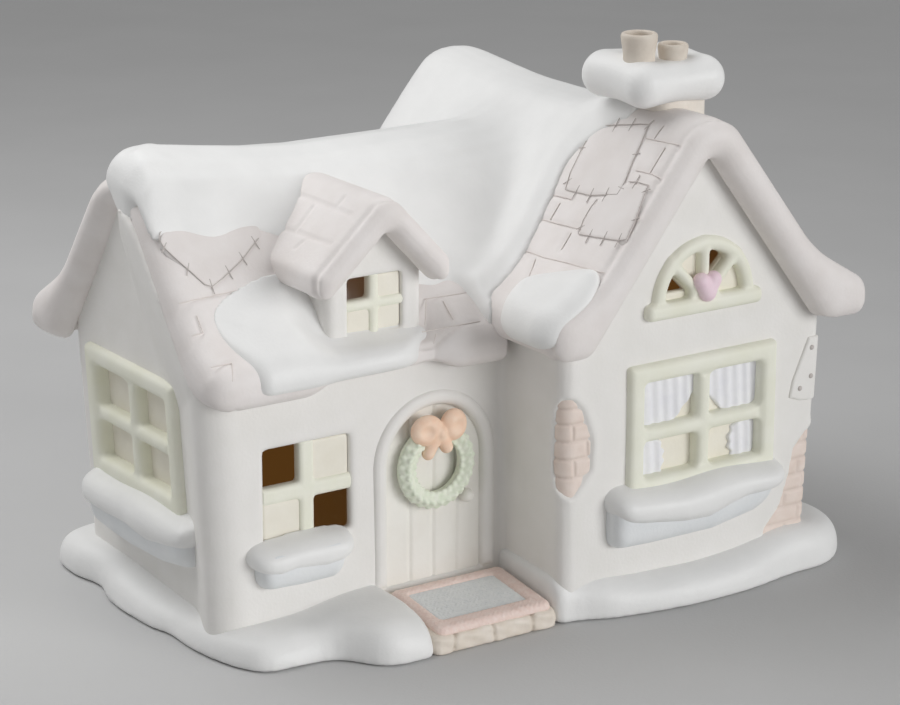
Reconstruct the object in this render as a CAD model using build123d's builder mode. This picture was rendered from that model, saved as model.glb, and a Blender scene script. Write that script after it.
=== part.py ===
"""A lit ceramic village house in bisque porcelain, made as an assembly of its separate pieces.

Millimetres, Z up, the front faces -Y. The origin lies under the middle of the snowy ground.
"""
from build123d import *
import math
import os

# Plan of the house and of the snowy ground around it
LEFT_MARGIN = 10.0
LEFT_WING_LENGTH = 84.0
GABLE_WING_WIDTH = 86.0
RIGHT_MARGIN = 16.0
FRONT_MARGIN = 9.0
GABLE_PROJECTION = 28.0
WING_DEPTH = 87.5
REAR_MARGIN = 12.5

# Wall shell
WALL_THICKNESS = 3.5
FLOOR_THICKNESS = 4.0
WALL_BATTER = 2.7          # degrees, the end walls lean outward
BATTER_LEVEL = 36.0        # height at which they stand on their plan line
WALL_CORNER_ROUND = 3.0
CORNER_LEAN_LIMIT = 30.0   # degrees, an edge of the walls that leans less is an upright corner

# Snowy ground
GROUND_HEIGHT = 9.0
GROUND_ROUND = 5.0
GROUND_FOOT_ROUND = 1.5
GROUND_OUTLINE_ROUND = 8.0
DRIFT_HEIGHT = 13.5
DRIFT_ROUND = 4.0
HEAP_HEIGHT = 12.0
HEAP_ROUND = 3.0

# Roofs
ROOF_PITCH = 52.5          # degrees
EAVE_KICK = 31.0           # degrees, slope of the bell-cast eave
ROOF_THICKNESS = 7.0
EAVE_THICKNESS = 10.0
EAVE_ROUND = 4.6
KNEE_INSET = 7.0           # the eave starts to flare this far inside the wall
KNEE_ROUND = 25.0
INNER_EAVE_OVERHANG = 7.5
OUTER_EAVE_OVERHANG = 11.7
VERGE_OVERHANG = 7.0
VERGE_ROUND = 2.5
MAIN_EAVE_HEIGHT = 78.575   # top of the inner eave's tip
MAIN_RIDGE_ROUND = 23.0
GABLE_EAVE_ABOVE_MAIN = 6.365
GABLE_RIDGE_ROUND = 11.0

# Snow and sewn patches on the roofs
ROOF_SNOW_THICKNESS = 2.5
EAVE_SNOW_THICKNESS = 3.5
EAVE_SNOW_DROP = 7.0       # how far it hangs below the top of the eave's tip
SNOW_OUTLINE_ROUND = 2.0
RIDGE_CREST = 8.5          # depth of the drift on the outer end of the main ridge
RIDGE_CREST_LENGTH = 50.0
ROOF_PATCH_THICKNESS = 0.7
PATCH_OUTLINE_ROUND = 0.8

# Dormer
DORMER_FROM_LEFT = 43.8     # its middle, from the end wall
DORMER_WIDTH = 29.0
DORMER_WALL = 3.0
DORMER_DEPTH = 26.0
DORMER_PITCH = 47.0        # degrees
DORMER_RIDGE_ABOVE_EAVE = 39.425
DORMER_RIDGE_ROUND = 5.0
DORMER_EAVE_OVERHANG = 4.1
DORMER_VERGE = 9.0
DORMER_ROOF_THICKNESS = 6.0
DORMER_EAVE_THICKNESS = 7.0
DORMER_EAVE_ROUND = 3.0
DORMER_VERGE_ROUND = 2.0

# Chimney
CHIMNEY_FROM_FRONT = 20.5  # middle of the stack, behind the gable wall
STACK_WIDTH = 26.0
STACK_DEPTH = 24.0
STACK_ROUND = 4.0
STACK_IN_CAP = 8.0         # how far it reaches into the snow on it
CAP_WIDTH = 33.0
CAP_DEPTH = 31.0
CAP_BELOW_RIDGE = 0.5      # its underside, below the gable ridge
CAP_HEIGHT = 14.0
CAP_CORNER_ROUND = 11.0
CAP_TOP_ROUND = 6.0
CAP_FOOT_ROUND = 4.5
POT_SINK = 6.0             # how deep the pots stand in the snow
POT_WALL = 1.6
POT_RIM_ROUND = 0.6
TALL_POT_RADIUS = 5.0
TALL_POT_HEIGHT = 7.0      # above the snow
TALL_POT_AT = (-8.0, -4.0)     # from the middle of the stack
SHORT_POT_RADIUS = 4.2
SHORT_POT_HEIGHT = 3.5
SHORT_POT_AT = (2.0, -5.6)

# Windows
SASH_BAR = 4.2
SASH_RECESS = 0.6
PANE_THICKNESS = 1.2
FRONT_WINDOW_FROM_LEFT = 22.8
FRONT_WINDOW_SILL = 28.9
FRONT_WINDOW_SIZE = 26.0
DORMER_SILL_ABOVE_EAVE = 6.025
DORMER_WINDOW_WIDTH = 16.7
DORMER_WINDOW_HEIGHT = 11.8
DORMER_SASH_BAR = 2.8
FRAME_WIDTH = 6.0
FRAME_PROUD = 2.4
FRAME_ROUND = 1.1
FRAME_BAR = 4.6
FRAME_BAR_PROUD = 1.5
FRAME_PANE_THICKNESS = 2.0
SIDE_WINDOW_OFF_MIDDLE = 5.45   # from the middle of its wall
SIDE_WINDOW_SILL = 31.0
SIDE_WINDOW_WIDTH = 50.4
SIDE_WINDOW_HEIGHT = 37.2
PARLOUR_WINDOW_OFF_MIDDLE = 2.4
PARLOUR_WINDOW_SILL = 31.5
PARLOUR_WINDOW_WIDTH = 50.2
PARLOUR_WINDOW_HEIGHT = 37.0
CURTAIN_THICKNESS = 0.8
CURTAIN_FOOT_WIDTH = 7.0
CURTAIN_GAP = 0.6
FAN_OFF_MIDDLE = 2.0
FAN_BELOW_EAVE = 0.94
FAN_RADIUS = 16.9
FAN_RIM = 4.0
FAN_BAR = 3.0
FAN_SPOKE_COUNT = 3
FAN_HUB = 5.0
FAN_LEDGE = 1.5            # width of the panes' seat behind the rim
FAN_SILL_LENGTH = 38.6
FAN_SILL_HEIGHT = 4.0
HEART_RADIUS = 2.2
HEART_THICKNESS = 1.2

# Window boxes and the snow in them
BOX_HEIGHT = 9.0
BOX_FLARE = 8.0            # degrees
BOX_ROUND = 1.8
BOX_SNOW_HEIGHT = 6.5
BOX_SNOW_OVERHANG = 1.5
BOX_SNOW_ROUND = 3.0
FRONT_BOX_FROM_LEFT = 19.4
FRONT_BOX_FOOT = 20.0
FRONT_BOX_LENGTH = 29.0
FRONT_BOX_REACH = 6.0
SIDE_BOX_OFF_MIDDLE = -2.75
SIDE_BOX_FOOT = 18.5
SIDE_BOX_LENGTH = 58.0
SIDE_BOX_REACH = 6.5
PARLOUR_BOX_OFF_MIDDLE = -4.0
PARLOUR_BOX_FOOT = 22.0
PARLOUR_BOX_LENGTH = 56.0
PARLOUR_BOX_REACH = 7.0

# Door, wreath, step and mat
DOOR_FROM_INNER = 22.0      # its middle, from the wing that stands forward
DOOR_WIDTH = 30.0
DOOR_SILL = 9.5
DOOR_HEAD_CLEARANCE = 5.875     # between its surround and the eave
DOOR_RECESS = 1.2
DOOR_PLANK_COUNT = 4
DOOR_GROOVE_WIDTH = 0.8
DOOR_GROOVE_DEPTH = 0.5
SURROUND_WIDTH = 4.7
SURROUND_PROUD = 1.6
SURROUND_ROUND = 0.7
KNOB_RADIUS = 1.8
KNOB_OFF_MIDDLE = 10.2
KNOB_BELOW_SPRING = 12.0
WREATH_OFF_MIDDLE = -0.4
WREATH_BELOW_SPRING = 1.2
WREATH_RADIUS = 9.4
WREATH_TUBE = 2.9
WREATH_SINK = 0.4          # its back is flattened this much against the door
BOW_ABOVE_SPRING = 9.0
BOW_LOOP_LENGTH = 6.6
BOW_LOOP_WIDTH = 5.2
BOW_LOOP_TILT = 20.0       # degrees
BOW_KNOT_RADIUS = 1.9
BOW_TAIL_LENGTH = 6.5
BOW_TAIL_WIDTH = 3.2
BOW_TAIL_TILT = 24.0       # degrees
BOW_BACK = 1.6             # in front of the wall
BOW_THICKNESS = 3.6
BOW_ROUND = 1.0
STEP_WIDTH = 39.0
STEP_OFF_MIDDLE = 1.4       # from the middle of the door
STEP_REAR_HEIGHT = 8.2
STEP_FRONT_HEIGHT = 4.8
MAT_LENGTH = 22.0
MAT_WIDTH = 35.0
MAT_BORDER = 4.0
MAT_THICKNESS = 1.6
MAT_FIELD_DROP = 0.3
MAT_FROM_WALL = 1.8
MAT_CORNER_ROUND = 2.0

# Bared bricks and the nailed patch
BRICK_SINK = 0.5
BRICK_BED = 2.2
BRICK_WRAP = 8.0           # how far they run round the corner
PLATE_THICKNESS = 0.7
NAIL_RADIUS = 0.6
NAIL_HEIGHT = 0.5

# Light unit in the rear wall
LAMP_FROM_INNER = 16.0
LAMP_HEIGHT = 34.0
LAMP_HOLE_RADIUS = 14.5
SEAT_GAP = 0.3             # between pieces that come apart
FLANGE_RADIUS = 17.5
FLANGE_THICKNESS = 2.5
FLANGE_ROUND = 0.8
CAP_END_RADIUS = 10.5
CAP_END_LENGTH = 6.5
CAP_END_ROUND = 1.5
CORD_HOLE_RADIUS = 3.2
CORD_HOLE_DEPTH = 6.0
HOLDER_RADIUS = 10.2
HOLDER_LENGTH = 26.0
SOCKET_INNER_RADIUS = 6.0
SOCKET_WALL = 0.5
SOCKET_DEPTH = 17.0
CONTACT_RADIUS = 2.4
CONTACT_THICKNESS = 0.8
CLIP_COUNT = 3
CLIP_WIDTH = 7.0
CLIP_SHEET = 0.5
CLIP_REACH = 14.2
CLIP_LENGTH = 13.0
SCREW_SHELL_RADIUS = 5.9
SCREW_SHELL_WALL = 0.4
SCREW_SHELL_LENGTH = 13.0
INSULATOR_HEIGHT = 1.8
INSULATOR_TOP_RADIUS = 3.2
TIP_CONTACT_RADIUS = 2.2
TIP_CONTACT_HEIGHT = 0.8
GLASS_NECK_RADIUS = 5.3
GLASS_NECK_LENGTH = 4.0    # inside the screw shell
GLASS_RADIUS = 11.0
GLASS_BELLY = 17.0         # from the shell's rim to the widest place
GLASS_LENGTH = 38.0
GLASS_WALL = 0.8
STEM_RADIUS = 1.8
STEM_LENGTH = 12.0
LEAD_RADIUS = 0.35
LEAD_SPREAD = 3.4
LEAD_LENGTH = 8.0
FILAMENT_RADIUS = 0.25

# Places in the shared frame that follow from the sizes above
BASE_LENGTH = LEFT_MARGIN + LEFT_WING_LENGTH + GABLE_WING_WIDTH + RIGHT_MARGIN
BASE_DEPTH = FRONT_MARGIN + GABLE_PROJECTION + WING_DEPTH + REAR_MARGIN
X_LEFT = -BASE_LENGTH / 2 + LEFT_MARGIN
X_INNER = X_LEFT + LEFT_WING_LENGTH
X_RIGHT = X_INNER + GABLE_WING_WIDTH
Y_GABLE = -BASE_DEPTH / 2 + FRONT_MARGIN
Y_FRONT = Y_GABLE + GABLE_PROJECTION
Y_REAR = Y_FRONT + WING_DEPTH
RIDGE_X = X_INNER + GABLE_WING_WIDTH / 2
RIDGE_Y = Y_FRONT + WING_DEPTH / 2
LEFT_VERGE = X_LEFT - VERGE_OVERHANG
FRONT_VERGE = Y_GABLE - VERGE_OVERHANG
REAR_VERGE = Y_REAR + VERGE_OVERHANG
MAIN_RUN = RIDGE_X - LEFT_VERGE
GABLE_RUN = REAR_VERGE - FRONT_VERGE
FORWARD_RUN = Y_FRONT - FRONT_VERGE     # of the gable roof, in front of the other wing
PITCH_SLOPE = math.tan(math.radians(ROOF_PITCH))
KICK_RISE = (INNER_EAVE_OVERHANG + KNEE_INSET) * math.tan(math.radians(EAVE_KICK))
RIDGE_LOSS = 1 / math.cos(math.radians(ROOF_PITCH)) - 1     # height a rounded ridge loses, per radius
GABLE_EAVE_HEIGHT = MAIN_EAVE_HEIGHT + GABLE_EAVE_ABOVE_MAIN
MAIN_RIDGE_HEIGHT = (MAIN_EAVE_HEIGHT + KICK_RISE + (WING_DEPTH / 2 - KNEE_INSET) * PITCH_SLOPE
                     - MAIN_RIDGE_ROUND * RIDGE_LOSS)
GABLE_RIDGE_HEIGHT = (GABLE_EAVE_HEIGHT + KICK_RISE + (GABLE_WING_WIDTH / 2 - KNEE_INSET) * PITCH_SLOPE
                      - GABLE_RIDGE_ROUND * RIDGE_LOSS)
DORMER_X = X_LEFT + DORMER_FROM_LEFT
DORMER_RIDGE_HEIGHT = MAIN_EAVE_HEIGHT + DORMER_RIDGE_ABOVE_EAVE
DORMER_WINDOW_SILL = MAIN_EAVE_HEIGHT + DORMER_SILL_ABOVE_EAVE
FRONT_WINDOW_X = X_LEFT + FRONT_WINDOW_FROM_LEFT
FRONT_BOX_X = X_LEFT + FRONT_BOX_FROM_LEFT
SIDE_WINDOW_Y = RIDGE_Y + SIDE_WINDOW_OFF_MIDDLE
SIDE_BOX_Y = RIDGE_Y + SIDE_BOX_OFF_MIDDLE
PARLOUR_WINDOW_X = RIDGE_X + PARLOUR_WINDOW_OFF_MIDDLE
PARLOUR_BOX_X = RIDGE_X + PARLOUR_BOX_OFF_MIDDLE
FAN_X = RIDGE_X + FAN_OFF_MIDDLE
FAN_BASE = GABLE_EAVE_HEIGHT - FAN_BELOW_EAVE
DOOR_X = X_INNER - DOOR_FROM_INNER
DOOR_SPRING = (MAIN_EAVE_HEIGHT - EAVE_THICKNESS - DOOR_HEAD_CLEARANCE - SURROUND_WIDTH
               - DOOR_WIDTH / 2)
KNOB_X = DOOR_X + KNOB_OFF_MIDDLE
KNOB_HEIGHT = DOOR_SPRING - KNOB_BELOW_SPRING
WREATH_X = DOOR_X + WREATH_OFF_MIDDLE
WREATH_HEIGHT = DOOR_SPRING - WREATH_BELOW_SPRING
BOW_HEIGHT = DOOR_SPRING + BOW_ABOVE_SPRING
STEP_X = DOOR_X + STEP_OFF_MIDDLE
LAMP_X = X_INNER + LAMP_FROM_INNER
CAP_BOTTOM = GABLE_RIDGE_HEIGHT - CAP_BELOW_RIDGE
CAP_TOP = CAP_BOTTOM + CAP_HEIGHT
POT_FOOT = CAP_TOP - POT_SINK
SKY = CAP_TOP + BASE_DEPTH
BATTER_LEAN = math.tan(math.radians(WALL_BATTER))

# Each roof: ridge height and rounding, half span, overhang on the minus and the plus side
MAIN_ROOF = (MAIN_RIDGE_HEIGHT, MAIN_RIDGE_ROUND, WING_DEPTH / 2, INNER_EAVE_OVERHANG, OUTER_EAVE_OVERHANG)
GABLE_ROOF = (GABLE_RIDGE_HEIGHT, GABLE_RIDGE_ROUND, GABLE_WING_WIDTH / 2,
              INNER_EAVE_OVERHANG, OUTER_EAVE_OVERHANG)

# Outlines in plan. Ground: shares of half the base. Roofs: share of the run along the ridge,
# then share of the half span across it (minus is the front or the left).
GROUND_SHARES = [
    (-0.95, 0.88), (-0.985, 0.68), (-0.965, 0.5), (-1.0, 0.3), (-1.0, 0.02), (-0.98, -0.12), (-0.98, -0.28),
    (-0.965, -0.44), (-0.93, -0.59), (-0.87, -0.67), (-0.7, -0.7), (-0.6, -0.86), (-0.45, -0.885),
    (-0.05, -0.875), (0.12, -0.95), (0.33, -1.0), (0.55, -1.0), (0.72, -0.96), (0.89, -0.93), (1.0, -0.76),
    (1.0, -0.42), (0.965, 0.0), (0.99, 0.45), (0.94, 0.86), (0.72, 0.96), (0.42, 1.0), (0.2, 1.0),
    (-0.05, 0.965), (-0.4, 0.99), (-0.75, 0.965)]
DRIFT_SHARES = [
    (-0.03, -0.8), (0.14, -0.91), (0.33, -0.96), (0.6, -0.96), (0.86, -0.89), (0.95, -0.74), (0.95, -0.4),
    (0.92, 0.3), (0.86, 0.82), (0.5, 0.9), (0.3, 0.6), (-0.02, 0.0)]
MAT_HEAP_SHARES = [(-0.62, -0.52), (-0.6, -0.72), (-0.53, -0.82), (-0.47, -0.78), (-0.46, -0.5),
                   (-0.54, -0.44)]
REAR_HEAP_SHARES = [(-0.975, 0.4), (-0.88, 0.3), (-0.84, 0.7), (-0.84, 0.88), (-0.92, 0.88), (-0.97, 0.7)]
MAIN_SNOW_SHARES = [
    (0.0, -0.41), (0.06, -0.47), (0.12, -0.51), (0.19, -0.49), (0.25, -0.53), (0.51, -0.81), (0.59, -0.82),
    (0.65, -0.85), (0.71, -0.74), (0.78, -0.68), (1.0, -0.67), (1.0, 0.6), (0.86, 0.63), (0.63, 0.54),
    (0.41, 0.7), (0.19, 0.59), (0.0, 0.68)]
MAIN_EAVE_SNOW_SHARES = [
    (0.12, -0.71), (0.06, -0.79), (0.06, -0.97), (0.085, -1.15), (0.11, -1.28), (0.26, -1.34), (0.36, -1.29),
    (0.42, -1.22), (0.46, -1.1), (0.485, -0.96), (0.26, -0.74), (0.22, -0.67)]
GABLE_SNOW_SHARES = [
    (0.19, 0.0), (0.2, -0.153), (0.253, -0.237), (0.313, -0.395), (0.3, -0.558), (0.286, -0.72),
    (0.27, -0.907), (0.259, -1.093), (0.274, -1.25), (1.0, -1.25), (1.0, 1.14), (0.745, 1.186),
    (0.513, 0.953), (0.4, 0.63), (0.28, 0.372), (0.19, 0.186)]
MAIN_PATCH_SHARES = [(0.03, -0.42), (0.012, -0.493), (0.076, -0.694), (0.22, -0.522), (0.2, -0.4)]
# On the part of the gable roof that stands forward: share of that part's run, then as above
GABLE_EAVE_SNOW_SHARES = [
    (0.784, -1.035), (0.729, -1.18), (0.574, -1.36), (0.3, -1.4), (0.074, -1.36), (0.011, -1.09),
    (0.022, -0.888), (0.13, -0.79), (0.414, -0.837), (0.703, -0.93)]
UPPER_PATCH_SHARES = [(1.021, -0.24), (0.522, -0.198), (0.385, -0.333), (0.37, -0.46), (0.44, -0.5),
                      (1.01, -0.533)]
LOWER_PATCH_SHARES = [(0.411, -0.435), (0.163, -0.416), (0.07, -0.533), (0.052, -0.647), (0.525, -0.679),
                      (0.581, -0.551)]
# Shapes on the gable wall: share of the wing's half width from its middle, share of the ridge's height
BRICK_PATCH_SHARES = [(-1.1, 0.375), (-0.99, 0.47), (-0.93, 0.47), (-0.86, 0.445), (-0.785, 0.378),
                      (-0.8, 0.312), (-0.93, 0.262), (-1.0, 0.28)]
BRICK_CORNER_SHARES = [(0.61, 0.04), (0.73, 0.145), (0.81, 0.218), (0.83, 0.26), (0.93, 0.298), (1.1, 0.32),
                       (1.1, 0.04)]
PLATE_SHARES = [(0.77, 0.377), (0.8, 0.414), (0.92, 0.5), (0.965, 0.498), (0.965, 0.363)]
NAIL_SHARES = [(0.8, 0.385), (0.83, 0.42), (0.93, 0.48), (0.94, 0.38)]

# Faces of the walls: local X runs along the wall, local Y up it and local Z out of it
front_wall = Plane(origin=(0, Y_FRONT, 0), x_dir=(1, 0, 0), z_dir=(0, -1, 0))
gable_wall = Plane(origin=(0, Y_GABLE, 0), x_dir=(1, 0, 0), z_dir=(0, -1, 0))
side_wall = Plane(origin=(X_LEFT + BATTER_LEVEL * BATTER_LEAN, 0, 0), x_dir=(0, -1, 0),
                  z_dir=(-1, 0, -BATTER_LEAN))
rear_wall = Plane(origin=(LAMP_X, Y_REAR, LAMP_HEIGHT), x_dir=(-1, 0, 0), z_dir=(0, 1, 0))
# Ends of the two roofs: local X runs across the ridge
main_end = Plane(origin=(LEFT_VERGE, RIDGE_Y, 0), x_dir=(0, 1, 0), z_dir=(1, 0, 0))
gable_end = Plane(origin=(RIDGE_X, REAR_VERGE, 0), x_dir=(1, 0, 0), z_dir=(0, -1, 0))
dormer_end = Plane(origin=(DORMER_X, RIDGE_Y, 0), x_dir=(1, 0, 0), z_dir=(0, -1, 0))


def bare_apex(roof):
    """Height at which the two slopes of a roof would meet without the rounded ridge."""
    return roof[0] + roof[1] * RIDGE_LOSS


def eave_tip(roof, side):
    """Distance from the ridge and height of the top of one eave's tip."""
    pitch = math.tan(math.radians(ROOF_PITCH))
    kick = math.tan(math.radians(EAVE_KICK))
    overhang = roof[3] if side < 0 else roof[4]
    knee = roof[2] - KNEE_INSET
    return roof[2] + overhang, bare_apex(roof) - knee * pitch - (overhang + KNEE_INSET) * kick


def roof_line(roof, grow):
    """Corners of a roof's outer line, grown outward, and the rounding of each."""
    pitch = math.radians(ROOF_PITCH)
    kick = math.radians(EAVE_KICK)
    rise = grow / math.cos(pitch)
    lift = grow / math.cos(kick)
    knee = roof[2] - KNEE_INSET + (rise - lift) / (math.tan(pitch) - math.tan(kick))
    knee_height = bare_apex(roof) + rise - knee * math.tan(pitch)
    left, left_top = eave_tip(roof, -1)
    right, right_top = eave_tip(roof, 1)
    tip_lift = lift - grow * math.tan(kick)
    points = [
        (-left - grow, left_top - EAVE_THICKNESS - grow), (-left - grow, left_top + tip_lift),
        (-knee, knee_height), (0, bare_apex(roof) + rise), (knee, knee_height),
        (right + grow, right_top + tip_lift), (right + grow, right_top - EAVE_THICKNESS - grow)]
    tip_round = EAVE_ROUND + grow / 2
    return points, [tip_round, tip_round, KNEE_ROUND, roof[1] + grow, KNEE_ROUND, tip_round, tip_round]


def roof_solid(plane, roof, run, grow=0.0, verge_round=0.0):
    """Everything below a roof's outer line, along its whole run."""
    points, rounds = roof_line(roof, grow)
    with BuildPart() as solid:
        with BuildSketch(plane):
            with BuildLine():
                FilletPolyline(points, radius=rounds, close=True)
            make_face()
        extrude(amount=run)
        if verge_round > 0:
            ends = solid.faces().sort_by(Axis(plane.origin, plane.z_dir))
            fillet(ends[0].edges() + ends[-1].edges(), verge_round)
    return solid.part


def space_under(plane, roof, run, low):
    """The space below a roof's underside, along its whole run."""
    pitch = math.radians(ROOF_PITCH)
    left, left_top = eave_tip(roof, -1)
    right, right_top = eave_tip(roof, 1)
    peak = bare_apex(roof) - ROOF_THICKNESS / math.cos(pitch)
    crown = min(roof[0] - ROOF_THICKNESS, peak - ROOF_THICKNESS / 2)
    crown_half = (peak - crown) / math.tan(pitch)
    left_low = left_top - EAVE_THICKNESS
    right_low = right_top - EAVE_THICKNESS
    with BuildPart() as space:
        with BuildSketch(plane):
            with BuildLine():
                Polyline(
                    (-left - KNEE_INSET, low), (-left - KNEE_INSET, left_low),
                    ((left_low - peak) / math.tan(pitch), left_low), (-crown_half, crown),
                    (crown_half, crown), ((peak - right_low) / math.tan(pitch), right_low),
                    (right + KNEE_INSET, right_low),
                    (right + KNEE_INSET, low), close=True)
            make_face()
        extrude(amount=run)
    return space.part


def house_block(inset):
    """The house as one block below its roofs, every wall moved in by the inset."""
    end_foot = (BATTER_LEVEL - FLOOR_THICKNESS) * BATTER_LEAN
    end_head = (BATTER_LEVEL - SKY) * BATTER_LEAN
    wing_overlap = X_INNER + 2 * WALL_THICKNESS
    upright = math.cos(math.radians(CORNER_LEAN_LIMIT))
    with BuildPart() as block:
        with BuildPart(mode=Mode.PRIVATE) as main_wing:
            with BuildSketch(Plane(origin=(0, Y_REAR - inset, 0), x_dir=(1, 0, 0), z_dir=(0, -1, 0))):
                with BuildLine():
                    Polyline(
                        (X_LEFT + inset + end_foot, FLOOR_THICKNESS), (wing_overlap, FLOOR_THICKNESS),
                        (wing_overlap, SKY), (X_LEFT + inset + end_head, SKY), close=True)
                make_face()
            extrude(amount=WING_DEPTH - 2 * inset)
            add(space_under(main_end, MAIN_ROOF, MAIN_RUN, FLOOR_THICKNESS), mode=Mode.INTERSECT)
        with BuildPart(mode=Mode.PRIVATE) as gable_wing:
            with BuildSketch(Plane(origin=(0, Y_REAR - inset, 0), x_dir=(1, 0, 0), z_dir=(0, -1, 0))):
                with BuildLine():
                    Polyline(
                        (X_INNER + inset, FLOOR_THICKNESS), (X_RIGHT - inset - end_foot, FLOOR_THICKNESS),
                        (X_RIGHT - inset - end_head, SKY), (X_INNER + inset, SKY), close=True)
                make_face()
            extrude(amount=WING_DEPTH + GABLE_PROJECTION - 2 * inset)
            add(space_under(gable_end, GABLE_ROOF, GABLE_RUN, FLOOR_THICKNESS), mode=Mode.INTERSECT)
        add(main_wing.part)
        add(gable_wing.part)
        corners = block.edges().filter_by(lambda edge: abs(edge.tangent_at(0.5).Z) > upright)
        outer = corners.filter_by(lambda edge: edge.center().X < X_INNER - WALL_THICKNESS
                                  or edge.center().X > RIDGE_X or edge.center().Y < Y_FRONT - WALL_THICKNESS)
        fillet(outer, WALL_CORNER_ROUND)
    return block.part


def plan_prism(points, rounding):
    """An upright prism over a closed outline in plan."""
    with BuildPart() as prism:
        with BuildSketch():
            with BuildLine():
                FilletPolyline(points, radius=rounding, close=True)
            make_face()
        extrude(amount=SKY)
    return prism.part


def main_points(shares):
    return [(LEFT_VERGE + along * MAIN_RUN, RIDGE_Y + across * WING_DEPTH / 2) for along, across in shares]


def forward_points(shares):
    return [(RIDGE_X + across * GABLE_WING_WIDTH / 2, FRONT_VERGE + along * FORWARD_RUN)
            for along, across in shares]


def gable_points(shares):
    half_span = GABLE_WING_WIDTH / 2
    return [(RIDGE_X + across * half_span, FRONT_VERGE + along * GABLE_RUN) for along, across in shares]


def gable_wall_points(shares):
    return [(RIDGE_X + across * GABLE_WING_WIDTH / 2, up * GABLE_RIDGE_HEIGHT) for across, up in shares]


def ground_points(shares):
    return [(across * BASE_LENGTH / 2, along * BASE_DEPTH / 2) for across, along in shares]


def snow_heap(shares, height, rounding):
    """A soft heap of snow on the ground."""
    with BuildPart() as heap:
        with BuildSketch():
            with BuildLine():
                FilletPolyline(ground_points(shares), radius=GROUND_OUTLINE_ROUND / 2, close=True)
            make_face()
        extrude(amount=height)
        fillet(heap.faces().sort_by(Axis.Z)[-1].edges(), rounding)
    return heap.part


def dormer_solid(roof_outside):
    """The dormer roof's outer block, or the space below its underside."""
    pitch = math.radians(DORMER_PITCH)
    apex = DORMER_RIDGE_HEIGHT + DORMER_RIDGE_ROUND * (1 / math.cos(pitch) - 1)
    reach = DORMER_WIDTH / 2 + DORMER_EAVE_OVERHANG
    tip = apex - reach * math.tan(pitch)
    low = tip - DORMER_EAVE_THICKNESS
    peak = apex - DORMER_ROOF_THICKNESS / math.cos(pitch)
    with BuildPart() as solid:
        with BuildSketch(dormer_end):
            with BuildLine():
                if roof_outside:
                    rounds = [DORMER_EAVE_ROUND, DORMER_EAVE_ROUND, DORMER_RIDGE_ROUND,
                              DORMER_EAVE_ROUND, DORMER_EAVE_ROUND]
                    FilletPolyline([(-reach, low), (-reach, tip), (0, apex), (reach, tip), (reach, low)],
                                   radius=rounds, close=True)
                else:
                    foot = (peak - low) / math.tan(pitch)
                    Polyline((-2 * reach, 0), (-2 * reach, low), (-foot, low), (0, peak), (foot, low),
                             (2 * reach, low), (2 * reach, 0), close=True)
            make_face()
        extrude(amount=RIDGE_Y - Y_FRONT + DORMER_VERGE)
        if roof_outside:
            fillet(solid.faces().sort_by(Axis.Y)[0].edges(), DORMER_VERGE_ROUND)
    return solid.part


def dormer_block(inset, rear):
    """The dormer's upright block below its roof, its walls moved in by the inset."""
    front = Y_FRONT + inset
    eave = eave_tip(MAIN_ROOF, -1)[1] - EAVE_THICKNESS / 2
    with BuildPart() as block:
        with BuildSketch(Plane(origin=(0, 0, eave))):
            with Locations((DORMER_X, (front + rear) / 2)):
                Rectangle(DORMER_WIDTH - 2 * inset, rear - front)
        extrude(amount=SKY)
        add(dormer_solid(False), mode=Mode.INTERSECT)
    return block.part


def wall_box(plane, centre, low, width, height, back, front):
    """A box on a wall: middle along it, lower edge, size, and its depth range out of the wall."""
    with BuildPart() as box:
        with BuildSketch(plane.offset(back)):
            with Locations((centre, low + height / 2)):
                Rectangle(width, height)
        extrude(amount=front - back)
    return box.part


def arch(plane, radius, back, front):
    """The door's round-headed shape on the front wall."""
    with BuildPart() as shape:
        with BuildSketch(plane.offset(back)):
            with Locations((DOOR_X, (DOOR_SILL + DOOR_SPRING) / 2)):
                Rectangle(2 * radius, DOOR_SPRING - DOOR_SILL)
            with Locations((DOOR_X, DOOR_SPRING)):
                Circle(radius)
        extrude(amount=front - back)
    return shape.part


def fan_half(radius, back, front):
    """A half disc over the base line of the fan window."""
    with BuildPart() as half:
        with BuildSketch(gable_wall.offset(back)):
            with Locations((FAN_X, FAN_BASE)):
                Circle(radius)
            with Locations((FAN_X, FAN_BASE - radius)):
                Rectangle(2 * radius, 2 * radius, mode=Mode.SUBTRACT)
        extrude(amount=front - back)
    return half.part


def cross_sash(plane, centre, low, width, height, bar, depth):
    """Two crossed bars that fill a window opening."""
    with BuildPart() as sash:
        add(wall_box(plane, centre, low, bar, height, -depth, -SASH_RECESS))
        add(wall_box(plane, centre, low + (height - bar) / 2, width, bar, -depth, -SASH_RECESS))
    return sash.part


def cross_panes(plane, centre, low, width, height, bar, depth, places):
    """Closed panes in the given quarters of a crossed window, at the back of the wall."""
    pane_width = (width - bar) / 2
    pane_height = (height - bar) / 2
    with BuildPart() as panes:
        for across, up in places:
            middle = centre + across * (pane_width + bar) / 2
            foot = low if up < 0 else low + pane_height + bar
            add(wall_box(plane, middle, foot, pane_width, pane_height, -depth, PANE_THICKNESS - depth))
    return panes.part


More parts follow.
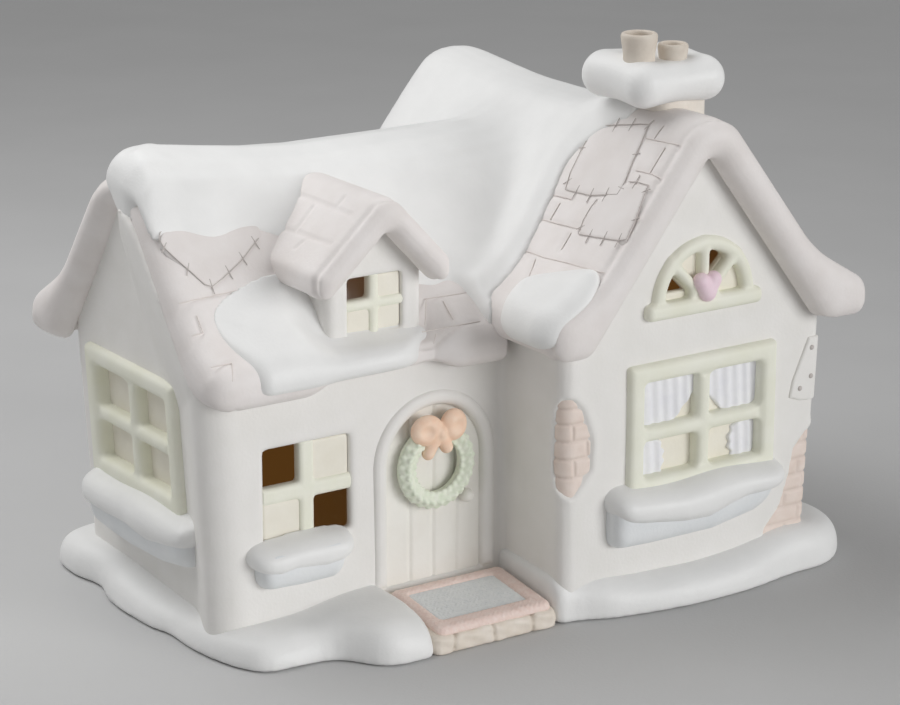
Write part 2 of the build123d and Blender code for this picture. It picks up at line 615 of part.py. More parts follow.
def framed_window(plane, centre, low, width, height):
    """A raised frame with two crossed bars, standing on the face of a wall."""
    clear_width = width - 2 * FRAME_WIDTH
    clear_height = height - 2 * FRAME_WIDTH
    with BuildPart() as frame:
        add(wall_box(plane, centre, low, width, height, 0, FRAME_PROUD))
        add(wall_box(plane, centre, low + FRAME_WIDTH, clear_width, clear_height, 0, FRAME_PROUD),
            mode=Mode.SUBTRACT)
        fillet(frame.faces().sort_by(Axis(plane.origin, plane.z_dir))[-1].edges(), FRAME_ROUND)
        add(wall_box(plane, centre, low + FRAME_WIDTH, FRAME_BAR, clear_height, 0, FRAME_BAR_PROUD))
        add(wall_box(plane, centre, low + (height - FRAME_BAR) / 2, clear_width, FRAME_BAR, 0,
                     FRAME_BAR_PROUD))
    return frame.part


def framed_opening(plane, centre, low, width, height, back, front):
    """The opening in the wall behind a raised frame, covered by half the frame's width."""
    return wall_box(plane, centre, low + FRAME_WIDTH / 2, width - FRAME_WIDTH, height - FRAME_WIDTH,
                    back, front)


def trough(plane, centre, low, length, reach, height, flare, rounding):
    """A rounded trough or heap that stands out from a wall, cut flat against the wall's face."""
    level = Plane(origin=plane.from_local_coords((centre, low, 0)), x_dir=plane.x_dir, z_dir=plane.y_dir)
    with BuildPart() as body:
        with BuildSketch(level):
            Rectangle(length, 2 * reach)
        extrude(amount=height, taper=-flare)
        fillet(body.edges(), rounding)
        split(bisect_by=plane, keep=Keep.TOP)
    return body.part


def roof_blanket(plane, roof, run, thickness, points, rounding):
    """A layer on a roof inside an outline in plan, down to the side of the eave's tip."""
    with BuildPart() as blanket:
        add(roof_solid(plane, roof, run, grow=thickness))
        add(plan_prism(points, rounding), mode=Mode.INTERSECT)
        add(roof_solid(plane, roof, run, verge_round=VERGE_ROUND), mode=Mode.SUBTRACT)
        with BuildSketch():
            Rectangle(2 * BASE_LENGTH, 2 * BASE_DEPTH)
        extrude(amount=eave_tip(roof, -1)[1] - EAVE_SNOW_DROP, mode=Mode.SUBTRACT)
    return blanket.part


def turned(plane, points):
    """A piece turned about a plane's Z axis from pairs of radius and distance out along the axis."""
    half = Plane(origin=plane.origin, x_dir=plane.x_dir, z_dir=-plane.y_dir)
    with BuildPart() as piece:
        with BuildSketch(half):
            with BuildLine():
                Polyline(points, close=True)
            make_face()
        revolve(axis=Axis(plane.origin, plane.z_dir))
    return piece.part


# Whole blocks that the pieces are cut from and cut against
house_outer = house_block(0)
house_inner = house_block(WALL_THICKNESS)
main_block = roof_solid(main_end, MAIN_ROOF, MAIN_RUN, verge_round=VERGE_ROUND)
gable_block = roof_solid(gable_end, GABLE_ROOF, GABLE_RUN, verge_round=VERGE_ROUND)
gable_snow_block = roof_solid(gable_end, GABLE_ROOF, GABLE_RUN, grow=ROOF_SNOW_THICKNESS)
dormer_roof_block = dormer_solid(True)
dormer_outer = dormer_block(0, RIDGE_Y)
dormer_shaft = dormer_block(DORMER_WALL, Y_FRONT + DORMER_DEPTH)
pieces = []


def keep(name, part):
    """Label a finished piece and put it on the list."""
    part.label = name
    pieces.append(part)


# The step and its mat lie in front of the door and slope down to the front
step_slope = math.atan2(STEP_REAR_HEIGHT - STEP_FRONT_HEIGHT, GABLE_PROJECTION)
with BuildPart() as door_step:
    with BuildSketch(Plane(origin=(STEP_X - STEP_WIDTH / 2, 0, 0), x_dir=(0, 1, 0), z_dir=(1, 0, 0))):
        with BuildLine():
            Polyline((Y_GABLE, 0), (Y_FRONT, 0), (Y_FRONT, STEP_REAR_HEIGHT),
                     (Y_GABLE, STEP_FRONT_HEIGHT), close=True)
        make_face()
    extrude(amount=STEP_WIDTH)
keep("door_step", door_step.part)

mat_run = MAT_FROM_WALL + MAT_LENGTH / 2
mat_top = Plane(
    origin=(STEP_X, Y_FRONT - mat_run, STEP_REAR_HEIGHT - mat_run * math.tan(step_slope)),
    x_dir=(1, 0, 0), z_dir=(0, -math.sin(step_slope), math.cos(step_slope)))
with BuildPart() as doormat_border:
    with BuildSketch(mat_top):
        RectangleRounded(MAT_WIDTH, MAT_LENGTH, MAT_CORNER_ROUND)
        Rectangle(MAT_WIDTH - 2 * MAT_BORDER, MAT_LENGTH - 2 * MAT_BORDER, mode=Mode.SUBTRACT)
    extrude(amount=MAT_THICKNESS)
keep("doormat_border", doormat_border.part)

with BuildPart() as doormat_field:
    with BuildSketch(mat_top):
        Rectangle(MAT_WIDTH - 2 * MAT_BORDER, MAT_LENGTH - 2 * MAT_BORDER)
    extrude(amount=MAT_THICKNESS - MAT_FIELD_DROP)
keep("doormat_field", doormat_field.part)

with BuildPart() as snow_base:
    with BuildSketch():
        with BuildLine():
            FilletPolyline(ground_points(GROUND_SHARES), radius=GROUND_OUTLINE_ROUND, close=True)
        make_face()
    extrude(amount=GROUND_HEIGHT)
    fillet(snow_base.faces().sort_by(Axis.Z)[-1].edges(), GROUND_ROUND)
    fillet(snow_base.faces().sort_by(Axis.Z)[0].edges(), GROUND_FOOT_ROUND)
    add(snow_heap(DRIFT_SHARES, DRIFT_HEIGHT, DRIFT_ROUND))
    add(snow_heap(MAT_HEAP_SHARES, HEAP_HEIGHT, HEAP_ROUND))
    add(snow_heap(REAR_HEAP_SHARES, HEAP_HEIGHT, HEAP_ROUND))
    add(house_outer, mode=Mode.SUBTRACT)
    with BuildSketch():
        with Locations((STEP_X, Y_FRONT - BASE_DEPTH / 2)):
            Rectangle(STEP_WIDTH, BASE_DEPTH)
    extrude(amount=SKY, mode=Mode.SUBTRACT)
    add(arch(front_wall, DOOR_WIDTH / 2 + SURROUND_WIDTH, 0, SURROUND_PROUD), mode=Mode.SUBTRACT)
keep("snow_base", snow_base.part)

# Bared bricks lie sunk in the skin of two corners of the gable wing
brick_outer = house_block(BRICK_SINK)
brick_bed = house_block(BRICK_BED)


def corner_prism(shares):
    """A prism into the gable wall, deep enough to run round its corner."""
    with BuildPart() as prism:
        with BuildSketch(gable_wall.offset(-BRICK_WRAP)):
            with BuildLine():
                Polyline(gable_wall_points(shares), close=True)
            make_face()
        extrude(amount=2 * BRICK_WRAP)
    return prism.part


def brick_inlay(name, shares):
    with BuildPart() as inlay:
        add(corner_prism(shares))
        add(brick_outer, mode=Mode.INTERSECT)
        add(brick_bed, mode=Mode.SUBTRACT)
        add(snow_base.part, mode=Mode.SUBTRACT)
    keep(name, inlay.part)


brick_inlay("brick_patch", BRICK_PATCH_SHARES)
brick_inlay("brick_corner", BRICK_CORNER_SHARES)

with BuildPart() as house_walls:
    add(house_outer)
    add(house_inner, mode=Mode.SUBTRACT)
    for shares in (BRICK_PATCH_SHARES, BRICK_CORNER_SHARES):
        with BuildPart(mode=Mode.PRIVATE) as bed:
            add(corner_prism(shares))
            add(brick_bed, mode=Mode.SUBTRACT)
        add(bed.part, mode=Mode.SUBTRACT)
    add(wall_box(front_wall, FRONT_WINDOW_X, FRONT_WINDOW_SILL, FRONT_WINDOW_SIZE, FRONT_WINDOW_SIZE,
                 -2 * WALL_THICKNESS, WALL_THICKNESS), mode=Mode.SUBTRACT)
    add(framed_opening(side_wall, -SIDE_WINDOW_Y, SIDE_WINDOW_SILL, SIDE_WINDOW_WIDTH, SIDE_WINDOW_HEIGHT,
                       -2 * WALL_THICKNESS, WALL_THICKNESS), mode=Mode.SUBTRACT)
    add(framed_opening(gable_wall, PARLOUR_WINDOW_X, PARLOUR_WINDOW_SILL, PARLOUR_WINDOW_WIDTH,
                       PARLOUR_WINDOW_HEIGHT, -2 * WALL_THICKNESS, WALL_THICKNESS), mode=Mode.SUBTRACT)
    add(fan_half(FAN_RADIUS - FAN_RIM + FAN_LEDGE, -2 * WALL_THICKNESS, WALL_THICKNESS), mode=Mode.SUBTRACT)
    add(arch(front_wall, DOOR_WIDTH / 2, -2 * WALL_THICKNESS, WALL_THICKNESS), mode=Mode.SUBTRACT)
    with BuildSketch(rear_wall.offset(-2 * WALL_THICKNESS)):
        Circle(LAMP_HOLE_RADIUS)
    extrude(amount=2 * BRICK_WRAP, mode=Mode.SUBTRACT)
keep("house_walls", house_walls.part)

with BuildPart() as wall_patch:
    with BuildSketch(gable_wall):
        with BuildLine():
            Polyline(gable_wall_points(PLATE_SHARES), close=True)
        make_face()
    extrude(amount=PLATE_THICKNESS)
    with BuildSketch(gable_wall.offset(PLATE_THICKNESS)):
        with Locations(gable_wall_points(NAIL_SHARES)):
            Circle(NAIL_RADIUS)
    extrude(amount=NAIL_HEIGHT)
keep("wall_patch", wall_patch.part)

# Roofs
gable_tip_low = eave_tip(GABLE_ROOF, -1)[1] - EAVE_THICKNESS
with BuildPart() as main_roof:
    add(main_block)
    add(space_under(main_end, MAIN_ROOF, MAIN_RUN, 0), mode=Mode.SUBTRACT)
    add(gable_block, mode=Mode.SUBTRACT)
    add(dormer_shaft, mode=Mode.SUBTRACT)
    with BuildSketch():
        with Locations((X_INNER + BASE_LENGTH / 2, 0)):
            Rectangle(BASE_LENGTH, 2 * BASE_DEPTH)
    extrude(amount=gable_tip_low + EAVE_THICKNESS / 2, mode=Mode.SUBTRACT)
keep("main_roof", main_roof.part)

with BuildPart() as gable_roof:
    add(gable_block)
    add(space_under(gable_end, GABLE_ROOF, GABLE_RUN, 0), mode=Mode.SUBTRACT)
    add(house_inner, mode=Mode.SUBTRACT)
keep("gable_roof", gable_roof.part)

# Dormer
with BuildPart() as dormer_walls:
    add(dormer_outer)
    add(main_block, mode=Mode.SUBTRACT)
    add(dormer_shaft, mode=Mode.SUBTRACT)
    add(wall_box(front_wall, DORMER_X, DORMER_WINDOW_SILL, DORMER_WINDOW_WIDTH, DORMER_WINDOW_HEIGHT,
                 -2 * DORMER_WALL, DORMER_WALL), mode=Mode.SUBTRACT)
keep("dormer_walls", dormer_walls.part)

with BuildPart() as dormer_roof:
    add(dormer_roof_block)
    add(dormer_solid(False), mode=Mode.SUBTRACT)
    add(main_block, mode=Mode.SUBTRACT)
keep("dormer_roof", dormer_roof.part)

dormer_window = (front_wall, DORMER_X, DORMER_WINDOW_SILL, DORMER_WINDOW_WIDTH, DORMER_WINDOW_HEIGHT,
                 DORMER_SASH_BAR)
with BuildPart() as dormer_sash:
    add(cross_sash(*dormer_window, DORMER_WALL))
    add(main_block, mode=Mode.SUBTRACT)
keep("dormer_sash", dormer_sash.part)
with BuildPart() as dormer_panes:
    add(cross_panes(*dormer_window, DORMER_WALL, [(1, 1), (-1, -1), (1, -1)]))
    add(main_block, mode=Mode.SUBTRACT)
keep("dormer_panes", dormer_panes.part)

# Chimney
chimney = (RIDGE_X, Y_GABLE + CHIMNEY_FROM_FRONT)
tall_pot_at = (chimney[0] + TALL_POT_AT[0], chimney[1] + TALL_POT_AT[1])
short_pot_at = (chimney[0] + SHORT_POT_AT[0], chimney[1] + SHORT_POT_AT[1])
with BuildPart() as chimney_stack:
    with BuildSketch():
        with Locations(chimney):
            RectangleRounded(STACK_WIDTH, STACK_DEPTH, STACK_ROUND)
    extrude(amount=CAP_BOTTOM + STACK_IN_CAP)
    add(gable_block, mode=Mode.SUBTRACT)
    with BuildSketch():
        with Locations(chimney):
            Rectangle(BASE_LENGTH, BASE_DEPTH)
    extrude(amount=gable_tip_low + EAVE_THICKNESS, mode=Mode.SUBTRACT)
keep("chimney_stack", chimney_stack.part)


def chimney_pot(name, place, radius, height):
    with BuildPart() as pot:
        with BuildSketch(Plane(origin=(place[0], place[1], POT_FOOT))):
            Circle(radius)
            Circle(radius - POT_WALL, mode=Mode.SUBTRACT)
        extrude(amount=POT_SINK + height)
        fillet(pot.faces().sort_by(Axis.Z)[-1].edges(), POT_RIM_ROUND)
    keep(name, pot.part)


with BuildPart() as chimney_snow_cap:
    with BuildSketch(Plane(origin=(chimney[0], chimney[1], CAP_BOTTOM))):
        RectangleRounded(CAP_WIDTH, CAP_DEPTH, CAP_CORNER_ROUND)
    extrude(amount=CAP_HEIGHT)
    fillet(chimney_snow_cap.faces().sort_by(Axis.Z)[-1].edges(), CAP_TOP_ROUND)
    fillet(chimney_snow_cap.faces().sort_by(Axis.Z)[0].edges(), CAP_FOOT_ROUND)
    add(gable_block, mode=Mode.SUBTRACT)
    add(chimney_stack.part, mode=Mode.SUBTRACT)
    for place, radius in ((tall_pot_at, TALL_POT_RADIUS), (short_pot_at, SHORT_POT_RADIUS)):
        with BuildSketch(Plane(origin=(place[0], place[1], POT_FOOT))):
            Circle(radius)
        extrude(amount=POT_SINK, mode=Mode.SUBTRACT)
keep("chimney_snow_cap", chimney_snow_cap.part)
chimney_pot("chimney_pot_tall", tall_pot_at, TALL_POT_RADIUS, TALL_POT_HEIGHT)
chimney_pot("chimney_pot_short", short_pot_at, SHORT_POT_RADIUS, SHORT_POT_HEIGHT)

# Snow on the roofs
with BuildPart() as gable_roof_snow:
    add(roof_blanket(gable_end, GABLE_ROOF, GABLE_RUN, ROOF_SNOW_THICKNESS, gable_points(GABLE_SNOW_SHARES),
                     SNOW_OUTLINE_ROUND))
    add(main_block, mode=Mode.SUBTRACT)
    add(chimney_stack.part, mode=Mode.SUBTRACT)
    add(chimney_snow_cap.part, mode=Mode.SUBTRACT)
keep("gable_roof_snow", gable_roof_snow.part)

ridge_axis = Plane(origin=(LEFT_VERGE, RIDGE_Y, MAIN_RIDGE_HEIGHT - MAIN_RIDGE_ROUND), x_dir=(0, 1, 0),
                   z_dir=(1, 0, 0))
with BuildPart() as ridge_crest:
    add(turned(ridge_axis, [
        (0, 0), (MAIN_RIDGE_ROUND + RIDGE_CREST, 0),
        (MAIN_RIDGE_ROUND + ROOF_SNOW_THICKNESS, RIDGE_CREST_LENGTH), (0, RIDGE_CREST_LENGTH)]))
    add(plan_prism(main_points(MAIN_SNOW_SHARES), SNOW_OUTLINE_ROUND), mode=Mode.INTERSECT)

with BuildPart() as main_roof_snow:
    add(roof_blanket(main_end, MAIN_ROOF, MAIN_RUN, ROOF_SNOW_THICKNESS, main_points(MAIN_SNOW_SHARES),
                     SNOW_OUTLINE_ROUND))
    add(ridge_crest.part)
    add(main_block, mode=Mode.SUBTRACT)
    with BuildSketch():
        Rectangle(2 * BASE_LENGTH, 2 * BASE_DEPTH)
    extrude(amount=eave_tip(MAIN_ROOF, -1)[1], mode=Mode.SUBTRACT)
    add(gable_snow_block, mode=Mode.SUBTRACT)
    add(dormer_roof_block, mode=Mode.SUBTRACT)
    add(dormer_outer, mode=Mode.SUBTRACT)
keep("main_roof_snow", main_roof_snow.part)

with BuildPart() as main_eave_snow:
    add(roof_blanket(main_end, MAIN_ROOF, MAIN_RUN, EAVE_SNOW_THICKNESS, main_points(MAIN_EAVE_SNOW_SHARES),
                     SNOW_OUTLINE_ROUND))
    add(dormer_roof_block, mode=Mode.SUBTRACT)
    add(dormer_outer, mode=Mode.SUBTRACT)
keep("main_eave_snow", main_eave_snow.part)

keep("gable_eave_snow", roof_blanket(gable_end, GABLE_ROOF, GABLE_RUN, EAVE_SNOW_THICKNESS,
                                     forward_points(GABLE_EAVE_SNOW_SHARES), SNOW_OUTLINE_ROUND))

# Sewn patches on the roofs
with BuildPart() as main_roof_patch:
    add(roof_blanket(main_end, MAIN_ROOF, MAIN_RUN, ROOF_PATCH_THICKNESS, main_points(MAIN_PATCH_SHARES),
                     PATCH_OUTLINE_ROUND))
    add(main_roof_snow.part, mode=Mode.SUBTRACT)
keep("main_roof_patch", main_roof_patch.part)

with BuildPart() as gable_patch_upper:
    add(roof_blanket(gable_end, GABLE_ROOF, GABLE_RUN, ROOF_PATCH_THICKNESS,
                     forward_points(UPPER_PATCH_SHARES), PATCH_OUTLINE_ROUND))
    add(gable_roof_snow.part, mode=Mode.SUBTRACT)
    add(chimney_stack.part, mode=Mode.SUBTRACT)
keep("gable_patch_upper", gable_patch_upper.part)

with BuildPart() as gable_patch_lower:
    add(roof_blanket(gable_end, GABLE_ROOF, GABLE_RUN, ROOF_PATCH_THICKNESS,
                     forward_points(LOWER_PATCH_SHARES), PATCH_OUTLINE_ROUND))
    add(gable_patch_upper.part, mode=Mode.SUBTRACT)
keep("gable_patch_lower", gable_patch_lower.part)

# Windows
front_window = (front_wall, FRONT_WINDOW_X, FRONT_WINDOW_SILL, FRONT_WINDOW_SIZE, FRONT_WINDOW_SIZE, SASH_BAR)
keep("front_sash", cross_sash(*front_window, WALL_THICKNESS))
keep("front_panes", cross_panes(*front_window, WALL_THICKNESS, [(1, 1), (-1, -1)]))

side_window = (side_wall, -SIDE_WINDOW_Y, SIDE_WINDOW_SILL, SIDE_WINDOW_WIDTH, SIDE_WINDOW_HEIGHT)
keep("side_window_frame", framed_window(*side_window))
keep("side_window_panes", framed_opening(*side_window, -FRAME_PANE_THICKNESS, 0))

parlour_window = (gable_wall, PARLOUR_WINDOW_X, PARLOUR_WINDOW_SILL, PARLOUR_WINDOW_WIDTH,
                  PARLOUR_WINDOW_HEIGHT)
keep("parlour_window_frame", framed_window(*parlour_window))
keep("parlour_window_panes", framed_opening(*parlour_window, -FRAME_PANE_THICKNESS, 0))

pane_width = (PARLOUR_WINDOW_WIDTH - 2 * FRAME_WIDTH - FRAME_BAR) / 2
pane_height = (PARLOUR_WINDOW_HEIGHT - 2 * FRAME_WIDTH - FRAME_BAR) / 2
with BuildPart() as curtains:
    for side in (-1, 1):
        middle = PARLOUR_WINDOW_X + side * (pane_width + FRAME_BAR) / 2
        upper = PARLOUR_WINDOW_SILL + FRAME_WIDTH + pane_height + FRAME_BAR
        add(wall_box(gable_wall, middle, upper + CURTAIN_GAP, pane_width - 2 * CURTAIN_GAP,
                     pane_height - 2 * CURTAIN_GAP, 0, CURTAIN_THICKNESS))
        outer_edge = FRAME_BAR / 2 + pane_width - CURTAIN_GAP
        outside = PARLOUR_WINDOW_X + side * (outer_edge - CURTAIN_FOOT_WIDTH / 2)
        add(wall_box(gable_wall, outside, PARLOUR_WINDOW_SILL + FRAME_WIDTH + CURTAIN_GAP, CURTAIN_FOOT_WIDTH,
                     pane_height - 2 * CURTAIN_GAP, 0, CURTAIN_THICKNESS))
keep("curtains", curtains.part)

with BuildPart() as fan_window_frame:
    add(fan_half(FAN_RADIUS, 0, FRAME_PROUD))
    add(fan_half(FAN_RADIUS - FAN_RIM, 0, FRAME_PROUD), mode=Mode.SUBTRACT)
    with BuildPart(mode=Mode.PRIVATE) as spokes:
        with BuildSketch(gable_wall):
            with Locations((FAN_X, FAN_BASE)):
                with PolarLocations(FAN_RADIUS / 2 - FAN_RIM / 4, FAN_SPOKE_COUNT, start_angle=45,
                                    angular_range=90, endpoint=True):
                    Rectangle(FAN_RADIUS - FAN_RIM / 2, FAN_BAR)
                Circle(FAN_HUB)
            with Locations((FAN_X, FAN_BASE - FAN_RADIUS)):
                Rectangle(2 * FAN_RADIUS, 2 * FAN_RADIUS, mode=Mode.SUBTRACT)
        extrude(amount=FRAME_BAR_PROUD)
    add(spokes.part)
    add(wall_box(gable_wall, FAN_X, FAN_BASE - FAN_SILL_HEIGHT, FAN_SILL_LENGTH, FAN_SILL_HEIGHT, 0,
                 FRAME_PROUD))
keep("fan_window_frame", fan_window_frame.part)

with BuildPart() as fan_window_panes:
    add(fan_half(FAN_RADIUS - FAN_RIM + FAN_LEDGE, -FRAME_PANE_THICKNESS, 0))
    with BuildPart(mode=Mode.PRIVATE) as pierced:
        with BuildSketch(gable_wall.offset(-FRAME_PANE_THICKNESS)):
            with Locations((FAN_X, FAN_BASE)):
                Circle(FAN_RADIUS - FAN_RIM)
                Circle(FAN_HUB, mode=Mode.SUBTRACT)
                with PolarLocations(FAN_RADIUS / 2, 3, start_angle=45, angular_range=90, endpoint=True):
                    Rectangle(FAN_RADIUS, FAN_BAR, mode=Mode.SUBTRACT)
                for start in (0, 90):
                    with Locations(Rotation(0, 0, start)):
                        Polygon((0, 0), (2 * FAN_RADIUS, 0), (2 * FAN_RADIUS, 2 * FAN_RADIUS), align=None,
                                mode=Mode.SUBTRACT)
            with Locations((FAN_X, FAN_BASE - FAN_RADIUS)):
                Rectangle(2 * FAN_RADIUS, 2 * FAN_RADIUS, mode=Mode.SUBTRACT)
        extrude(amount=FRAME_PANE_THICKNESS)
    add(pierced.part, mode=Mode.SUBTRACT)
keep("fan_window_panes", fan_window_panes.part)

with BuildPart() as heart_ornament:
    with BuildSketch(gable_wall.offset(FRAME_BAR_PROUD)):
        with Locations((FAN_X, FAN_BASE + FAN_HUB)):
            with Locations(Rotation(0, 0, 45)):
                Rectangle(2 * HEART_RADIUS, 2 * HEART_RADIUS)
                with Locations((0, HEART_RADIUS), (HEART_RADIUS, 0)):
                    Circle(HEART_RADIUS)
    extrude(amount=HEART_THICKNESS)
    add(fan_window_frame.part, mode=Mode.SUBTRACT)
keep("heart_ornament", heart_ornament.part)

# Window boxes
for name, plane, centre, foot, length, reach in (
        ("front", front_wall, FRONT_BOX_X, FRONT_BOX_FOOT, FRONT_BOX_LENGTH, FRONT_BOX_REACH),
        ("side", side_wall, -SIDE_BOX_Y, SIDE_BOX_FOOT, SIDE_BOX_LENGTH, SIDE_BOX_REACH),
        ("parlour", gable_wall, PARLOUR_BOX_X, PARLOUR_BOX_FOOT, PARLOUR_BOX_LENGTH, PARLOUR_BOX_REACH)):
    keep(name + "_window_box", trough(plane, centre, foot, length, reach, BOX_HEIGHT, BOX_FLARE, BOX_ROUND))
    with BuildPart() as box_snow:
        add(trough(plane, centre, foot + BOX_HEIGHT, length + 2 * BOX_SNOW_OVERHANG,
                   reach + BOX_SNOW_OVERHANG, BOX_SNOW_HEIGHT, 0, BOX_SNOW_ROUND))
        for frame in pieces:
            if frame.label == name + "_window_frame":
                add(frame, mode=Mode.SUBTRACT)
    keep(name + "_box_snow", box_snow.part)

# Door
with BuildPart() as door_surround:
    add(arch(front_wall, DOOR_WIDTH / 2 + SURROUND_WIDTH, 0, SURROUND_PROUD))
    add(arch(front_wall, DOOR_WIDTH / 2, 0, SURROUND_PROUD), mode=Mode.SUBTRACT)
    fillet(door_surround.faces().sort_by(Axis.Y)[0].edges(), SURROUND_ROUND)
keep("door_surround", door_surround.part)

with BuildPart() as door_leaf:
    add(arch(front_wall, DOOR_WIDTH / 2, -WALL_THICKNESS, -DOOR_RECESS))
    plank = DOOR_WIDTH / DOOR_PLANK_COUNT
    for joint in range(1, DOOR_PLANK_COUNT):
        add(wall_box(front_wall, DOOR_X - DOOR_WIDTH / 2 + joint * plank, 0, DOOR_GROOVE_WIDTH, SKY,
                     -DOOR_RECESS - DOOR_GROOVE_DEPTH, 0), mode=Mode.SUBTRACT)
keep("door_leaf", door_leaf.part)

door_face = front_wall.offset(-DOOR_RECESS)
with BuildPart() as door_knob:
    with Locations(door_face.from_local_coords((KNOB_X, KNOB_HEIGHT, KNOB_RADIUS - WREATH_SINK))):
        Sphere(KNOB_RADIUS)
    split(bisect_by=door_face, keep=Keep.TOP)
keep("door_knob", door_knob.part)

with BuildPart() as wreath:
    wreath_middle = door_face.from_local_coords((WREATH_X, WREATH_HEIGHT, WREATH_TUBE - WREATH_SINK))
    with Locations(Plane(origin=wreath_middle, x_dir=(1, 0, 0), z_dir=(0, -1, 0))):
        Torus(WREATH_RADIUS, WREATH_TUBE)
    split(bisect_by=door_face, keep=Keep.TOP)
keep("wreath", wreath.part)

with BuildPart() as bow:
    with BuildSketch(front_wall.offset(BOW_BACK)):
        with Locations((WREATH_X, BOW_HEIGHT)):
            Circle(BOW_KNOT_RADIUS)
            for side in (-1, 1):
                with Locations(Rotation(0, 0, side * BOW_LOOP_TILT)):
                    with Locations((side * BOW_LOOP_LENGTH / 2, 0)):
                        Ellipse(BOW_LOOP_LENGTH / 2, BOW_LOOP_WIDTH / 2)
                with Locations(Rotation(0, 0, side * BOW_TAIL_TILT)):
                    with Locations((0, -BOW_TAIL_LENGTH / 2)):
                        Rectangle(BOW_TAIL_WIDTH, BOW_TAIL_LENGTH)
    extrude(amount=BOW_THICKNESS)
    fillet(bow.faces().sort_by(Axis.Y)[0].edges(), BOW_ROUND)
    add(wreath.part, mode=Mode.SUBTRACT)
keep("bow", bow.part)

# Light unit. Distances along its axis run out of the rear wall, so the bulb lies on the minus side.
holder_foot = SEAT_GAP
socket_floor = SOCKET_DEPTH - HOLDER_LENGTH
with BuildPart() as lampholder:
    with BuildSketch(rear_wall.offset(holder_foot)):
        Circle(FLANGE_RADIUS)
    extrude(amount=FLANGE_THICKNESS)
    fillet(lampholder.faces().sort_by(Axis.Y)[-1].edges(), FLANGE_ROUND)
    with BuildSketch(rear_wall.offset(holder_foot + FLANGE_THICKNESS)):
        Circle(CAP_END_RADIUS)
    extrude(amount=CAP_END_LENGTH)
    fillet(lampholder.faces().sort_by(Axis.Y)[-1].edges(), CAP_END_ROUND)
    with BuildSketch(rear_wall.offset(holder_foot)):
        Circle(HOLDER_RADIUS)
    extrude(amount=-HOLDER_LENGTH - holder_foot)
    with BuildSketch(rear_wall.offset(-HOLDER_LENGTH)):
        Circle(SOCKET_INNER_RADIUS + SOCKET_WALL)
    extrude(amount=SOCKET_DEPTH, mode=Mode.SUBTRACT)
    with BuildSketch(rear_wall.offset(holder_foot + FLANGE_THICKNESS + CAP_END_LENGTH)):
        Circle(CORD_HOLE_RADIUS)
    extrude(amount=-CORD_HOLE_DEPTH, mode=Mode.SUBTRACT)
keep("lampholder", lampholder.part)

with BuildPart() as socket_shell:
    with BuildSketch(rear_wall.offset(-HOLDER_LENGTH)):
        Circle(SOCKET_INNER_RADIUS + SOCKET_WALL)
        Circle(SOCKET_INNER_RADIUS, mode=Mode.SUBTRACT)
    extrude(amount=SOCKET_DEPTH)
keep("socket_shell", socket_shell.part)

with BuildPart() as socket_contact:
    with BuildSketch(rear_wall.offset(socket_floor - CONTACT_THICKNESS)):
        Circle(CONTACT_RADIUS)
    extrude(amount=CONTACT_THICKNESS)
keep("socket_contact", socket_contact.part)

# Three leaf springs run from the flange along the holder and bear on the hole
with BuildPart() as holder_clips:
    for turn in range(CLIP_COUNT):
        leaf = Plane(rear_wall.location * Location((0, 0, 0), (0, 0, 360 / CLIP_COUNT * (turn + 0.5))))
        edge = leaf.from_local_coords((0, -CLIP_WIDTH / 2, 0))
        side = Plane(origin=edge, x_dir=leaf.x_dir, z_dir=leaf.y_dir)
        with BuildSketch(side):
            with BuildLine():
                Polyline(
                    (HOLDER_RADIUS, -holder_foot), (CLIP_REACH - CLIP_SHEET, CLIP_LENGTH / 3),
                    (HOLDER_RADIUS, CLIP_LENGTH), (HOLDER_RADIUS, CLIP_LENGTH + 2 * CLIP_SHEET),
                    (CLIP_REACH, CLIP_LENGTH / 3),
                    (HOLDER_RADIUS + 2 * CLIP_SHEET, -holder_foot), close=True)
            make_face()
        extrude(amount=CLIP_WIDTH)
    with BuildSketch(rear_wall.offset(-HOLDER_LENGTH)):
        Circle(HOLDER_RADIUS)
    extrude(amount=2 * HOLDER_LENGTH, mode=Mode.SUBTRACT)
keep("holder_clips", holder_clips.part)

tip = socket_floor - CONTACT_THICKNESS - SEAT_GAP
keep("bulb_contact", turned(rear_wall, [
    (0, tip), (TIP_CONTACT_RADIUS, tip), (TIP_CONTACT_RADIUS, tip - TIP_CONTACT_HEIGHT),
    (0, tip - TIP_CONTACT_HEIGHT)]))
insulator_top = tip - TIP_CONTACT_HEIGHT
shell_top = insulator_top - INSULATOR_HEIGHT
shell_rim = shell_top - SCREW_SHELL_LENGTH
shell_bore = SCREW_SHELL_RADIUS - SCREW_SHELL_WALL
keep("bulb_insulator", turned(rear_wall, [
    (0, insulator_top - SEAT_GAP / 2), (INSULATOR_TOP_RADIUS, insulator_top - SEAT_GAP / 2),
    (SCREW_SHELL_RADIUS, shell_top), (0, shell_top)]))
keep("bulb_shell", turned(rear_wall, [
    (shell_bore, shell_top), (SCREW_SHELL_RADIUS, shell_top), (SCREW_SHELL_RADIUS, shell_rim),
    (shell_bore, shell_rim)]))


def glass_line(inset):
    """One side of the bulb's glass from the neck to its tip."""
    neck = GLASS_NECK_RADIUS - inset
    start = (neck, shell_rim + GLASS_NECK_LENGTH)
    mouth = (neck, shell_rim)
    belly = (GLASS_RADIUS - inset, shell_rim - GLASS_BELLY)
    end = (0, shell_rim - GLASS_LENGTH + inset)
    Line(start, mouth)
    Spline(mouth, belly, end, tangents=[(0, -1), (0, -1), (-1, 0)])
    return start, end


